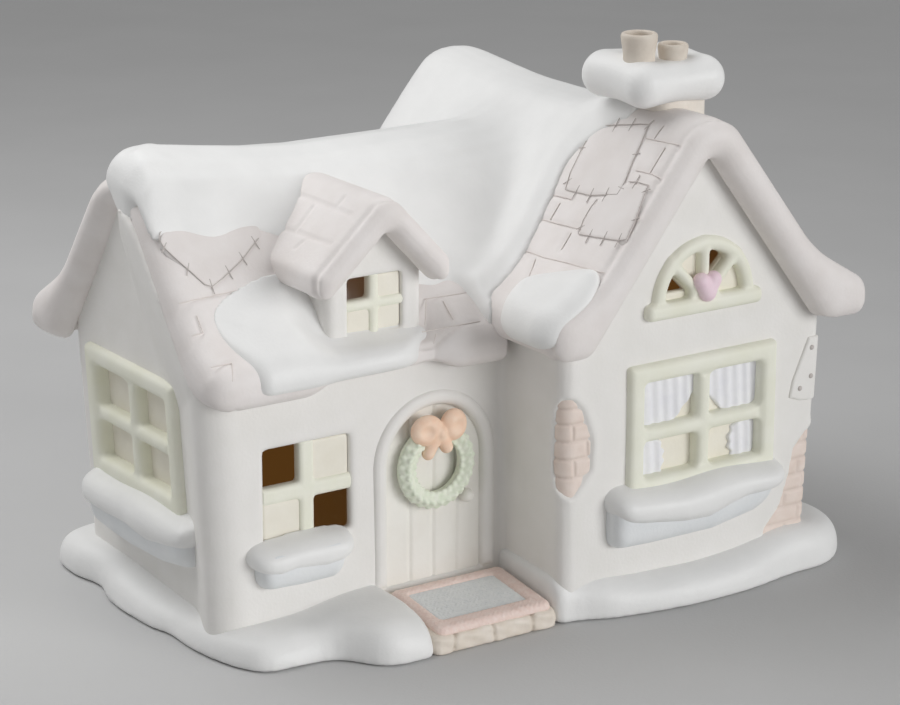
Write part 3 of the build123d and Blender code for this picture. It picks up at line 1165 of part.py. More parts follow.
glass_side = Plane(origin=rear_wall.origin, x_dir=rear_wall.x_dir, z_dir=-rear_wall.y_dir)
with BuildPart() as bulb_glass:
    with BuildSketch(glass_side):
        with BuildLine():
            outer_start, outer_end = glass_line(0)
            inner_start, inner_end = glass_line(GLASS_WALL)
            Line(outer_start, inner_start)
            Line(outer_end, inner_end)
        make_face()
    revolve(axis=Axis(rear_wall.origin, rear_wall.z_dir))
keep("bulb_glass", bulb_glass.part)

with BuildPart() as bulb_stem:
    with BuildSketch(rear_wall.offset(shell_top)):
        Circle(STEM_RADIUS)
    extrude(amount=shell_rim - shell_top - STEM_LENGTH)
    with BuildSketch(rear_wall.offset(shell_rim + GLASS_NECK_LENGTH)):
        Circle(GLASS_NECK_RADIUS - GLASS_WALL)
    extrude(amount=-CONTACT_THICKNESS)
keep("bulb_stem", bulb_stem.part)

stem_end = shell_rim - STEM_LENGTH
with BuildPart() as bulb_filament:
    for side in (-1, 1):
        start = rear_wall.from_local_coords((side * STEM_RADIUS / 2, 0, stem_end))
        end = rear_wall.from_local_coords((side * LEAD_SPREAD, 0, stem_end - LEAD_LENGTH))
        with BuildSketch(Plane(origin=start, z_dir=(end - start))):
            Circle(LEAD_RADIUS)
        extrude(amount=(end - start).length)
    coil_end = rear_wall.from_local_coords((LEAD_SPREAD, 0, stem_end - LEAD_LENGTH))
    with BuildSketch(Plane(origin=coil_end, z_dir=(1, 0, 0))):
        Circle(FILAMENT_RADIUS)
    extrude(amount=2 * LEAD_SPREAD)
    add(bulb_stem.part, mode=Mode.SUBTRACT)
keep("bulb_filament", bulb_filament.part)

os.makedirs("parts", exist_ok=True)
for piece in pieces:
    export_step(piece, os.path.join("parts", piece.label + ".step"))
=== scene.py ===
"""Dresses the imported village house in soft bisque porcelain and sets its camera, floor and light.

Shapes are worked out in millimetres as fields that are below zero inside a piece, and their zero
surface becomes the mesh. X runs along the front, Y to the rear and Z up, as in the frame.
"""

import math

import bpy
import numpy as np
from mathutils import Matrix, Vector


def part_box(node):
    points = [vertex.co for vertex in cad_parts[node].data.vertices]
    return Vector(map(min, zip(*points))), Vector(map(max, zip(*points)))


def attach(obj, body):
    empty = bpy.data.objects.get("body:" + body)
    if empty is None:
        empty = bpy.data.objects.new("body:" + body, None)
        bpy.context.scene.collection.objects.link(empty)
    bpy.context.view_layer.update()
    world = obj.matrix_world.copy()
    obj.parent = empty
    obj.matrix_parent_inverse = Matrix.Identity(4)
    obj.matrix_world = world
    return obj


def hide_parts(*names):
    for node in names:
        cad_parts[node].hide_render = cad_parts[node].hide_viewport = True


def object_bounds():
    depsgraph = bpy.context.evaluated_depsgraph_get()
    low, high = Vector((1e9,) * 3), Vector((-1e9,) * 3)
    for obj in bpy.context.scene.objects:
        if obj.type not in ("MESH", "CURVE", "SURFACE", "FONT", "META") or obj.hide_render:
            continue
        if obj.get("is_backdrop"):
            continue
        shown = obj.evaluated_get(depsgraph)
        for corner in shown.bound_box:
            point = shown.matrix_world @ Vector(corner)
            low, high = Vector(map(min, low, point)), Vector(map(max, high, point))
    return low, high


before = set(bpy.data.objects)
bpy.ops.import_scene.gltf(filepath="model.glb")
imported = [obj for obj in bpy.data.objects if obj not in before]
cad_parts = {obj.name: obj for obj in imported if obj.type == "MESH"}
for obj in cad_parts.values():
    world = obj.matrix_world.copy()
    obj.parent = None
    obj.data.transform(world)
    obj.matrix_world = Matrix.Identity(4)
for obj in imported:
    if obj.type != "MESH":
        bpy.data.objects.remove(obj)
cad_low, cad_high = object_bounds()

MM = 0.001
FAR = 200.0                # reaches well past the house

# Plan of the house
X_LEFT, X_INNER, X_RIGHT = -88.0, -4.0, 82.0
Y_GABLE, Y_FRONT, Y_REAR = -59.5, -31.5, 56.0
RIDGE_X, RIDGE_Y = 39.0, 12.25
LEFT_VERGE, FRONT_VERGE, REAR_VERGE = -95.0, -66.5, 63.0
WALL_THICKNESS = 3.5
WALL_ROUND = 4.0
WALL_LEAN = 0.047          # the end walls lean outward, millimetres in each millimetre of height
LEAN_LEVEL = 36.0
FLOOR = 4.0

# Roofs
PITCH_SLOPE = math.tan(math.radians(52.5))
PITCH_STRETCH = 1 / math.cos(math.radians(52.5))
KICK_SLOPE = math.tan(math.radians(31.0))
KNEE_INSET = 7.0
KNEE_ROUND = 38.0
EAVE_THICKNESS = 10.0
EAVE_ROUND, FOOT_ROUND = 7.0, 4.4
ROOF_THICKNESS = 7.0
MAIN = {"ridge": 120.4, "round": 23.0, "half": 43.75, "minus": 7.5, "plus": 11.7}
GABLE = {"ridge": 133.5, "round": 11.0, "half": 43.0, "minus": 7.5, "plus": 11.7}

DORMER_X, DORMER_HALF = -44.2, 14.5
STACK_X, STACK_Y = 43.0, -38.5
STACK_HALVES = (8.5, 9.5)
STACK_BANK = 4.0           # extra depth of snow against the stack

# Light unit
LAMP_X, LAMP_Z, LAMP_HOLE_RADIUS = 12.0, 34.0, 14.5


def box_of(*nodes):
    """Lowest and highest corners of CAD nodes together, in millimetres."""
    corners = [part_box(node) for node in nodes]
    low = [min(corner[0][axis] for corner in corners) / MM for axis in range(3)]
    high = [max(corner[1][axis] for corner in corners) / MM for axis in range(3)]
    return np.array(low), np.array(high)


# Fields
TINY_SLOPE, TINY_WEIGHT = 1e-6, 1e-9  # keep divisions away from zero


def soft_max(a, b, blend):
    """What two fields share, with the edge between them rounded over the blend's width."""
    near = np.maximum(blend - np.abs(a - b), 0) / blend
    return np.maximum(a, b) + near * near * blend / 4


def soft_min(a, b, blend):
    """Two fields joined, with a fillet between them over the blend's width."""
    return -soft_max(-a, -b, blend)


def shared(*fields):
    """What fields share, with sharp edges between them."""
    deepest = fields[0]
    for field in fields[1:]:
        deepest = np.maximum(deepest, field)
    return deepest


def ramp(value, start, end):
    """Rises smoothly from 0 at start to 1 at end."""
    share = np.clip((value - start) / (end - start), 0, 1)
    return share * share * (3 - 2 * share)


def span(*offsets):
    """Straight distance from its parts along each axis."""
    return np.sqrt(sum(offset * offset for offset in offsets))


def bell(offset, width):
    """1 in the middle, falling away smoothly over the width."""
    return np.exp(-(offset / width) ** 2)


def mound(x, y, place, spread):
    """1 at a place in plan, falling away smoothly around it."""
    return np.exp(-((x - place[0]) ** 2 + (y - place[1]) ** 2) / spread)


def between(value, ends):
    """Distance outside a range."""
    return np.abs(value - sum(ends) / 2) - (ends[1] - ends[0]) / 2


def slab(*ranges, rounding):
    """A rounded box in two or three axes, from each one's coordinate with its lowest and highest value."""
    beyond = [between(value, (low, high)) + rounding for value, low, high in ranges]
    return span(*[np.maximum(part, 0) for part in beyond]) + np.minimum(shared(*beyond), 0) - rounding


def pebble(offsets, radii):
    """An egg shape, from its middle's offsets and its three radii."""
    reach = span(*[offset / radius for offset, radius in zip(offsets, radii)])
    steep = span(*[offset / radius ** 2 for offset, radius in zip(offsets, radii)])
    return reach * (reach - 1) / np.maximum(steep, TINY_SLOPE)


def rod(x, y, z, start, end, radius):
    """A round bar with round ends."""
    run = [b - a for a, b in zip(start, end)]
    offsets = [value - a for value, a in zip((x, y, z), start)]
    share = sum(o * r for o, r in zip(offsets, run)) / sum(r * r for r in run)
    share = np.clip(share, 0, 1)
    return span(*[o - share * r for o, r in zip(offsets, run)]) - radius


def line_gap(points, u, v):
    """Distance in a plane to an open line of straight runs."""
    nearest = np.float32(np.inf)
    for (a_u, a_v), (b_u, b_v) in zip(points, points[1:]):
        run_u, run_v = b_u - a_u, b_v - a_v
        share = np.clip(((u - a_u) * run_u + (v - a_v) * run_v) / (run_u ** 2 + run_v ** 2), 0, 1)
        nearest = np.minimum(nearest, (u - a_u - share * run_u) ** 2 + (v - a_v - share * run_v) ** 2)
    return np.sqrt(nearest)


def outline(points, u, v):
    """Signed distance to a closed line in a plane."""
    inside = False
    for (a_u, a_v), (b_u, b_v) in zip(points, points[1:] + points[:1]):
        tilt = (b_u - a_u) / (b_v - a_v) if b_v != a_v else 0.0
        inside = inside ^ (((a_v > v) != (b_v > v)) & (u < (v - a_v) * tilt + a_u))
    return np.where(inside, -1, 1) * line_gap(points + points[:1], u, v)


def scored(lines, u, v, half_width, depth):
    """Depth of soft grooves drawn along lines in a plane."""
    gap = np.float32(np.inf)
    for line in lines:
        gap = np.minimum(gap, line_gap(line, u, v))
    return depth * (1 - ramp(gap, 0, half_width))


def flowing(points, steps=5):
    """A closed line that runs smoothly through its points."""
    line = []
    count = len(points)
    for index in range(count):
        p0, p1, p2, p3 = [np.array(points[(index + shift) % count]) for shift in (-1, 0, 1, 2)]
        for step in range(steps):
            t = step / steps
            place = (2 * p1 + (p2 - p0) * t + (2 * p0 - 5 * p1 + 4 * p2 - p3) * t ** 2
                     + (3 * p1 - p0 - 3 * p2 + p3) * t ** 3) / 2
            line.append((float(place[0]), float(place[1])))
    return line


def rounded(points, radii, steps=8):
    """A closed line of straight runs whose corners are arcs of the given radii."""
    line = []
    for index, (corner, radius) in enumerate(zip(points, radii)):
        corner = Vector(corner)
        back = (Vector(points[index - 1]) - corner).normalized()
        ahead = (Vector(points[(index + 1) % len(points)]) - corner).normalized()
        half = back.angle(ahead) / 2
        middle = corner + (back + ahead).normalized() * radius / math.sin(half)
        start = corner + back * radius / math.tan(half) - middle
        end = corner + ahead * radius / math.tan(half) - middle
        for step in range(steps + 1 if radius else 1):
            place = middle + start.lerp(end, step / steps).normalized() * radius
            line.append((place.x, place.y))
    return line


def hills(x, y, places, width):
    """Smooth height between places that are given as x, y and height."""
    total = 0
    weights = TINY_WEIGHT
    for place_x, place_y, height in places:
        weight = mound(x, y, (place_x, place_y), 2 * width ** 2)
        total = total + weight * height
        weights = weights + weight
    return total / weights


# Meshes
MARGIN_CELLS = 2
SMOOTHING = (0.5, -0.52)   # each pass draws the points together and then pushes them back
SMOOTHING_PASSES = 4
CORNERS = np.array([(i, j, k) for i in (0, 1) for j in (0, 1) for k in (0, 1)])
CELL_EDGES = [(a, b) for a in range(8) for b in range(a + 1, 8) if abs(CORNERS[a] - CORNERS[b]).sum() == 1]


def skin(values, low, cell):
    """Points and quads of the closed surface on which a sampled field is zero."""
    for axis in range(3):
        edge = np.moveaxis(values, axis, 0)
        edge[0] = np.maximum(edge[0], cell)
        edge[-1] = np.maximum(edge[-1], cell)
    inside = values < 0
    counts = 0
    for i, j, k in CORNERS:
        part = inside[i:inside.shape[0] - 1 + i, j:inside.shape[1] - 1 + j, k:inside.shape[2] - 1 + k]
        counts = counts + part.astype(np.int8)
    mixed = (counts > 0) & (counts < 8)
    cells = np.argwhere(mixed)
    numbers = np.zeros(mixed.shape, np.int32)
    numbers[mixed] = np.arange(len(cells))
    at = cells[:, None, :] + CORNERS[None]
    samples = values[at[..., 0], at[..., 1], at[..., 2]].astype(np.float64)
    points = np.zeros((len(cells), 3))
    hits = np.zeros(len(cells))
    for a, b in CELL_EDGES:
        cut = (samples[:, a] < 0) != (samples[:, b] < 0)
        share = samples[cut, a] / (samples[cut, a] - samples[cut, b])
        points[cut] += CORNERS[a] + share[:, None] * (CORNERS[b] - CORNERS[a])
        hits[cut] += 1
    points = low + cell * (cells + points / hits[:, None])
    quads = []
    for axis in range(3):
        turned = np.moveaxis(inside, axis, 0)
        ring = np.moveaxis(numbers, axis, 0)
        if axis == 1:
            turned, ring = turned.swapaxes(1, 2), ring.swapaxes(1, 2)
        i, j, k = np.nonzero(turned[:-1] != turned[1:])
        loop = np.stack([ring[i, j - 1, k - 1], ring[i, j, k - 1], ring[i, j, k], ring[i, j - 1, k]], axis=1)
        outward = turned[i, j, k]
        loop[~outward] = loop[~outward][:, ::-1]
        quads.append(loop)
    return points, np.concatenate(quads)


def relaxed(points, quads):
    """The points evened out among their neighbours without shrinking."""
    start = quads.ravel()
    end = np.roll(quads, -1, axis=1).ravel()
    counts = np.bincount(start, minlength=len(points))[:, None]
    for step in SMOOTHING * SMOOTHING_PASSES:
        means = np.stack([np.bincount(start, points[end, axis], len(points)) for axis in range(3)], axis=1)
        points = points + step * (means / counts - points)
    return points


def add_piece(name, data, material, nodes=()):
    """Puts a mesh or a curve on the house as a piece, in place of the CAD nodes named."""
    data.materials.append(material)
    piece = bpy.data.objects.new(name, data)
    bpy.context.scene.collection.objects.link(piece)
    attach(piece, "house")
    if nodes:
        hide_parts(*nodes)


def mould(name, nodes, material, field, low, high, cell, marks=None):
    """Makes a piece of the house from its field inside a box, in place of the CAD nodes named."""
    margin = MARGIN_CELLS * cell
    low = np.array(low, float) - margin
    counts = np.ceil((np.array(high, float) + margin - low) / cell).astype(int) + 1
    x, y, z = [np.arange(count, dtype=np.float32) * np.float32(cell) + np.float32(start)
               for count, start in zip(counts, low)]
    values = field(x[:, None, None], y[None, :, None], z[None, None, :])
    values = np.array(np.broadcast_to(values, counts), dtype=np.float32)
    points, quads = skin(values, low, cell)
    points = relaxed(points, quads)
    mesh = bpy.data.meshes.new(name)
    mesh.vertices.add(len(points))
    mesh.vertices.foreach_set("co", (points * MM).astype(np.float32).ravel())
    mesh.loops.add(quads.size)
    mesh.loops.foreach_set("vertex_index", quads.astype(np.int32).ravel())
    mesh.polygons.add(len(quads))
    mesh.polygons.foreach_set("loop_start", np.arange(0, quads.size, 4, dtype=np.int32))
    mesh.polygons.foreach_set("use_smooth", np.ones(len(quads), bool))
    for mark, rule in (marks or {}).items():
        amounts = np.broadcast_to(rule(*points.T), len(points)).astype(np.float32)
        mesh.attributes.new(mark, "FLOAT", "POINT").data.foreach_set("value", amounts)
    mesh.update()
    mesh.validate()
    add_piece(name, mesh, material, nodes)


def mould_node(node, material, field, cell, below=0, above=0, marks=None):
    """Makes a piece in place of the CAD node of its name, in that node's box with room around it."""
    low, high = box_of(node)
    mould(node, [node], material, field, low - below, high + above, cell, marks)


def draw_lines(name, lines, radius, material):
    """Fine raised lines of the house, as one curve piece."""
    curve = bpy.data.curves.new(name, "CURVE")
    curve.dimensions = "3D"
    curve.bevel_depth = radius * MM
    curve.bevel_resolution = 2
    curve.use_fill_caps = True
    for line in lines:
        spline = curve.splines.new("POLY")
        spline.points.add(len(line) - 1)
        for point, place in zip(spline.points, line):
            point.co = [value * MM for value in place] + [1.0]
    add_piece(name, curve, material)


# Materials
def linear(code):
    """Linear colour from an sRGB hex value."""
    shares = [int(code[place:place + 2], 16) / 255 for place in (1, 3, 5)]
    return [c / 12.92 if c <= 0.04045 else ((c + 0.055) / 1.055) ** 2.4 for c in shares] + [1.0]


MIX_A, MIX_B, MIX_RESULT = 6, 7, 2  # a mix node's sockets for colours
WASH_START, WASH_END = 0.3, 0.7
CLOUD_DETAIL, TOOTH_DETAIL = 3.0, 2.0


def connect(tree, node, inputs):
    """Sets or links a node's inputs."""
    for name, value in inputs.items():
        if isinstance(value, bpy.types.NodeSocket):
            tree.links.new(value, node.inputs[name])
        else:
            node.inputs[name].default_value = value


def add_node(tree, kind, settings=None, inputs=None):
    """Adds a shader node, sets its properties, and sets or links its inputs."""
    node = tree.nodes.new(kind)
    for name, value in (settings or {}).items():
        setattr(node, name, value)
    connect(tree, node, inputs or {})
    return node


def finish(name, slot, colour, shade, roughness=0.55, cloud=9.0, grit=0.9, grit_depth=0.05, metallic=0.0,
           mark=None, mark_colour=None, glow=None):
    """A solid finish: its colour clouds softly into a shade, over a fine tooth.

    The cloud and the grit are sizes in millimetres. A mark is a tint that a piece carries by itself, such as
    dark joints, or painted shade on the rooms' inside. The painted glow is an emission there that stands in
    for light coming through the thin wall."""
    material = bpy.data.materials.new(name)
    material.use_nodes = True
    material["slot"] = slot
    tree = material.node_tree
    shader = tree.nodes["Principled BSDF"]
    place = add_node(tree, "ShaderNodeTexCoord").outputs["Object"]
    clouds = add_node(tree, "ShaderNodeTexNoise", None,
                      {"Vector": place, "Scale": 1 / (cloud * MM), "Detail": CLOUD_DETAIL})
    wash = add_node(tree, "ShaderNodeValToRGB", None, {"Fac": clouds.outputs["Fac"]})
    for stop, start, code in zip(wash.color_ramp.elements, (WASH_START, WASH_END), (shade, colour)):
        stop.position = start
        stop.color = linear(code)
    top = wash.outputs["Color"]
    if mark:
        amount = add_node(tree, "ShaderNodeAttribute", {"attribute_name": mark}).outputs["Fac"]
        tint = add_node(tree, "ShaderNodeMix", {"data_type": "RGBA"},
                        {"Factor": amount, MIX_A: top, MIX_B: linear(mark_colour)})
        top = tint.outputs[MIX_RESULT]
    tooth = add_node(tree, "ShaderNodeTexNoise", None,
                     {"Vector": place, "Scale": 1 / (grit * MM), "Detail": TOOTH_DETAIL})
    bump = add_node(tree, "ShaderNodeBump", None,
                    {"Height": tooth.outputs["Fac"], "Distance": grit_depth * MM, "Strength": 1.0})
    connect(tree, shader, {"Base Color": top, "Normal": bump.outputs["Normal"],
                           "Roughness": roughness, "Metallic": metallic})
    # Painted glow: an emission on the marked points that stands in for light coming through the thin wall.
    if glow:
        painted_glow_colour = add_node(tree, "ShaderNodeMix", {"data_type": "RGBA"},
                        {"Factor": amount, MIX_A: linear("#000000"), MIX_B: linear(glow)})
        connect(tree, shader, {"Emission Color": painted_glow_colour.outputs[MIX_RESULT], "Emission Strength": 1.0})
    return material


def bisque(wash, slot, colour, shade, **detail):
    """A bisque finish under a thin wash of colour."""
    return finish("bisque_porcelain_" + wash, slot + "_bisque", colour, shade, **detail)


# Bisque is porcelain fired without glaze: matt, with soft edges and a tooth like fine paper. The tooth
# is really about a tenth of a millimetre and is drawn coarser to show. Each pastel is a thin wash that
# pools in the hollows.
MAT_PILE = {"cloud": 1.5, "grit": 0.7, "grit_depth": 0.2}
# The rooms' inside is marked with painted shade, a dark warm brown, and a painted glow for light through the
# thin porcelain.
wall_bisque = bisque("white", "wall", "#F1EFEC", "#EDEBE7", mark="inside", mark_colour="#8A6540",
                     glow="#463014")
snow_bisque = bisque("snow_satin", "snow", "#F3F3F2", "#EFEFEE", roughness=0.45)
roof_bisque = bisque("rose_grey_wash", "roof", "#F0EBE9", "#E9E3E0")
patch_bisque = bisque("patch_wash", "roof", "#EBE6E4", "#E4DEDB")
trim_bisque = bisque("cream_green_wash", "trim", "#F3F3E6", "#EEEEDD")
pane_bisque = bisque("cream_wash", "pane", "#F3EFE3", "#EDE8DA")
curtain_bisque = bisque("lilac_wash", "curtain", "#F4F4F7", "#EEEEF3", cloud=3.0)
box_bisque = bisque("blue_grey_wash", "box", "#EEF0F1", "#E7EAEC")
brick_bisque = bisque("brick_wash", "brick", "#F0E2D9", "#E9D8CD", cloud=4.0, mark="joint",
                      mark_colour="#DCCDC4")
stack_bisque = bisque("stone_wash", "brick", "#EBE4DB", "#E3DBD0")
step_bisque = bisque("paving_wash", "step", "#EFE6DB", "#E3D8CA", cloud=5.0, mark="joint",
                     mark_colour="#C8BBAC")
pot_bisque = bisque("taupe_wash", "pot", "#E1D8CC", "#D6CBBE", cloud=4.0)
door_bisque = bisque("ivory_wash", "door", "#F4F2EC", "#EFECE5")
wreath_bisque = bisque("mint_wash", "wreath", "#F1F5E6", "#E3ECD6", cloud=1.6)
bow_bisque = bisque("peach_wash", "bow", "#FBDFC8", "#F8D2B6", cloud=3.0)
mat_border_bisque = bisque("pink_wash", "mat_border", "#F5E2DA", "#EFD6CC", **MAT_PILE)
mat_field_bisque = bisque("slate_wash", "mat_field", "#EFF1F1", "#E7EAEB", **MAT_PILE)
heart_bisque = bisque("rose_lilac_wash", "heart", "#F9E3EC", "#F3D8E4", cloud=3.0)
# Underglaze lines are drawn on the clay before firing and stay matt, a little uneven in strength.
shingle_line = finish("underglaze_line_rose_grey", "roof_bisque", "#E6DEDA", "#DDD4D0", cloud=2.0)
pencil_line = finish("underglaze_pencil_grey", "roof_bisque", "#CBC4C0", "#BFB8B4", cloud=2.0)


# Roof sections
def roof_heights(roof):
    """Knee's distance from the ridge and height, the bare apex, and both eave tips."""
    apex = roof["ridge"] + roof["round"] * (PITCH_STRETCH - 1)
    knee = roof["half"] - KNEE_INSET
    knee_height = apex - knee * PITCH_SLOPE
    tips = [(roof["half"] + roof[side], knee_height - (roof[side] + KNEE_INSET) * KICK_SLOPE)
            for side in ("minus", "plus")]
    return knee, knee_height, apex, tips


def cover_line(roof, foot, foot_round):
    """Outer line of a roof's section, closed below each eave's tip at a depth."""
    knee, knee_height, apex, (minus, plus) = roof_heights(roof)
    points = [(-minus[0], minus[1] - foot), (-minus[0], minus[1]), (-knee, knee_height), (0, apex),
              (knee, knee_height), (plus[0], plus[1]), (plus[0], plus[1] - foot)]
    return rounded(points, [foot_round, EAVE_ROUND, KNEE_ROUND, roof["round"], KNEE_ROUND, EAVE_ROUND,
                            foot_round])


UNDER_ROUND = 6.0


def under_line(roof):
    """Line of the space below a roof's sheet."""
    _, _, apex, (minus, plus) = roof_heights(roof)
    peak = apex - ROOF_THICKNESS * PITCH_STRETCH
    minus_low, plus_low = minus[1] - EAVE_THICKNESS, plus[1] - EAVE_THICKNESS
    points = [(-minus[0] - KNEE_INSET, 0), (-minus[0] - KNEE_INSET, minus_low),
              ((minus_low - peak) / PITCH_SLOPE, minus_low), (0, peak),
              ((peak - plus_low) / PITCH_SLOPE, plus_low), (plus[0] + KNEE_INSET, plus_low),
              (plus[0] + KNEE_INSET, 0)]
    return rounded(points, [0, 0, UNDER_ROUND, roof["round"] / 2, UNDER_ROUND, 0, 0])


MAIN_COVER = cover_line(MAIN, FAR, 0)
GABLE_COVER = cover_line(GABLE, FAR, 0)
MAIN_BLOCK = cover_line(MAIN, EAVE_THICKNESS, FOOT_ROUND)
GABLE_BLOCK = cover_line(GABLE, EAVE_THICKNESS, FOOT_ROUND)
MAIN_UNDER = under_line(MAIN)
GABLE_UNDER = under_line(GABLE)


def main_cover(y, z):
    """Distance above the main roof's skin."""
    return outline(MAIN_COVER, y - RIDGE_Y, z)


def gable_cover(x, z):
    """Distance above the gable roof's skin."""
    return outline(GABLE_COVER, x - RIDGE_X, z)


LEVELS = 1500              # heights that are tried for a point on a roof


def height_on(cover, place):
    """Height of a roof's skin at a place across it."""
    levels = np.linspace(FLOOR, cad_high[2] / MM, LEVELS)
    return float(levels[np.argmax(cover(place, levels) > 0)])


VERGE_SWELL = 0.8          # how far the smooth band along a verge stands up
VERGE_FADE = 2.5           # distance over which the band sinks to the crease behind it
CREASE_DEPTH, CREASE_WIDTH = 0.5, 1.2
VERGE_EXTRA = 3.0          # how much thicker the sheet is at a verge
VERGE_SPAN = (6.0, 10.0)   # distance behind the verge over which that fades


def verge_roll(behind, band):
    """Rise of a verge's band and the soft crease behind it, from the distance behind the verge."""
    swell = VERGE_SWELL * (1 - ramp(behind, band - VERGE_FADE, band))
    return swell - CREASE_DEPTH * bell(behind - band, CREASE_WIDTH)


def verge_depth(behind):
    """How much thicker the sheet is near a verge."""
    return VERGE_EXTRA * (1 - ramp(behind, *VERGE_SPAN))


FRONT_START, FRONT_FADE = 4.0, 10.0


def front_share(y):
    """Rises to 1 on the main roof's front slope, from just behind the ridge."""
    return ramp(RIDGE_Y + FRONT_START - y, 0, FRONT_FADE)


# Walls
LEAN_REACH = 60.0          # distance from the middle beyond which a wall leans fully


def lean_x(x, z):
    """X as it would be if the end walls stood upright."""
    return x + np.clip(x / LEAN_REACH, -1, 1) * -(z - LEAN_LEVEL) * WALL_LEAN


WALL_JOIN = 6.0            # how far the main wing runs into the gable wing
SOFT_CORNER = 5.0          # the main wing's corners are this much rounder than the gable wing's
END_FLARE = 6.4            # how far the left wall swells to meet the front verge
FLARE_SPAN = (10.0, 34.0)  # depth below the roof over which the swelling fades


def wing_blocks(x, y, z, inset):
    """The two wings as upright rounded blocks, their walls moved in by the inset."""
    upright = lean_x(x, z)
    corner = WALL_ROUND - inset
    flare = END_FLARE * (1 - ramp(-main_cover(y, z), *FLARE_SPAN)) * front_share(y)
    flared = upright + np.where(x < X_LEFT / 2, flare, 0)
    inner_end = X_INNER + WALL_JOIN if inset == 0 else RIDGE_X - inset
    main = slab((flared, X_LEFT + inset, inner_end), (y, Y_FRONT + inset, Y_REAR - inset),
                rounding=corner + SOFT_CORNER)
    gable = slab((upright, X_INNER + inset, X_RIGHT - inset), (y, Y_GABLE + inset, Y_REAR - inset),
                 rounding=corner)
    return main, gable


def front_wall(x, y, z):
    """Coordinates along, up and out of the front wall."""
    return x, z, Y_FRONT - y


def gable_wall(x, y, z):
    """Coordinates along, up and out of the gable's wall."""
    return x, z, Y_GABLE - y


def left_wall(x, y, z):
    """Coordinates along, up and out of the left end wall."""
    return y, z, X_LEFT - lean_x(x, z)


# Bricks that show where the plaster has come off, as outlines around a corner of the gable's wall, with
# the levels between their courses and the places of the upright joints
BROKEN_PLACES = {
    "brick_patch": {
        "corner": X_INNER, "low": (-7, -61, 33), "high": (8, -52, 65), "cell": 0.3,
        "edge": [(-3.7, 62.8), (-1.1, 62.6), (2.2, 59.3), (5.3, 50.4), (4.7, 41.6), (-1.0, 34.9),
                 (-3.3, 35.6), (-7.5, 37.5), (-9.0, 45.0), (-8.6, 55.0), (-7.0, 61.5)],
        "levels": [59.7, 55.4, 50.6, 45.7, 40.6], "heads": [0.6, 2.6, -1.4, 3.2, -0.8, 2.4]},
    "brick_corner": {
        "corner": X_RIGHT, "low": (63, -61, 6), "high": (84, -50, 43), "cell": 0.35,
        "edge": [(65.4, 13.6), (70.5, 19.4), (73.7, 29.1), (74.5, 34.8), (79.0, 39.8), (84.0, 41.2),
                 (89.0, 38.0), (90.0, 10.0), (64.0, 8.0)],
        "levels": [13.8, 18.3, 22.8, 27.3, 31.8, 36.3],
        "heads": [73.0, 77.5, 72.5, 79.0, 77.0, 81.0, 79.0]}}
COURSE_RISE, HEAD_LEAN = 0.01, 0.3
JOINT_HALF, JOINT_DEPTH = 0.8, 0.45


def round_corner(x, y, corner):
    """Distance along the gable's front wall and on round its left or right corner."""
    beyond = np.maximum(y - Y_GABLE, 0)
    return x - beyond if corner == X_INNER else x + beyond


def brick_joints(place, along, up):
    """Depth of the joints between a broken place's courses and of the upright joints in each course."""
    levels = place["levels"]
    course = levels[0] - levels[1]
    lines = [[(-FAR, level), (FAR, level + COURSE_RISE)] for level in levels]
    edges = [levels[0] + course] + levels + [levels[-1] - course]
    for head, low, high in zip(place["heads"], edges, edges[1:]):
        lines.append([(head, low), (head + HEAD_LEAN, high)])
    return scored(lines, along, up, JOINT_HALF, JOINT_DEPTH)


front_low, front_high = box_of("front_sash")
fan_low, fan_high = box_of("fan_window_frame")
door_low, door_high = box_of("door_leaf")
side_low, side_high = box_of("side_window_frame")
parlour_low, parlour_high = box_of("parlour_window_frame")
fan_middle = (fan_low[0] + fan_high[0]) / 2
FAN_SILL = 4.0
FAN_RADIUS = 16.9
FAN_RIM = 4.0
door_middle = (door_low[0] + door_high[0]) / 2
DOOR_HALF = 15.0
DOOR_SPRING = 43.0
front_box = (front_low[[0, 2]], front_high[[0, 2]])
side_box = (side_low[1:], side_high[1:])
parlour_box = (parlour_low[[0, 2]], parlour_high[[0, 2]])


def door_arch(along, up):
    """Distance outside the door's arched opening."""
    rise = np.maximum(up - DOOR_SPRING, 0)
    return np.maximum(span(along - door_middle, rise) - DOOR_HALF, door_low[2] - up)


def panel(along, up, low, high, inset, rounding=1.2):
    """Distance outside a rounded rectangle in a plane, its sides moved in by the inset."""
    return slab((along, low[0] + inset, high[0] - inset), (up, low[1] + inset, high[1] - inset),
                rounding=rounding)


RIDGE_SAG, SAG_WIDTH = 4.0, 20.0
SAG_SPAN = (STACK_Y + 8, STACK_Y + 28)
SAG_REAR, SAG_REAR_SHARE = 15.0, 0.85


def ridge_sag(x, y):
    """How far the gable's ridge sags between the chimney and its rear verge."""
    along = ramp(y, *SAG_SPAN) * (1 - SAG_REAR_SHARE * ramp(y, SAG_REAR, REAR_VERGE))
    return RIDGE_SAG * along * bell(x - RIDGE_X, SAG_WIDTH)


FRONT_WAVE, END_WAVE = (0.15, 15.0, 12.0), (0.12, 13.0, 14.0)  # depth, length along and length up
MAIN_TOP, GABLE_TOP = 6.0, 3.5  # the walls end this far below the roofs' skins
CEILING = ROOF_THICKNESS + 1
BROKEN_REACH = 25.0        # a broken place lies this close to its corner
LIP_HEIGHT, LIP_WIDTH = 0.5, 1.6
BRICK_BED = 1.2            # the wall behind the bricks lies this deep
WINDOW_INSET = 3.0         # a framed window's hole is this much smaller than its frame


def unevenness(x, y, z):
    """Slight waves of the hand-made walls."""
    depth, run, rise = FRONT_WAVE
    front = depth * np.sin(x / run + 1) * np.sin(z / rise)
    depth, run, rise = END_WAVE
    return front + depth * np.sin(y / run) * np.cos(z / rise)


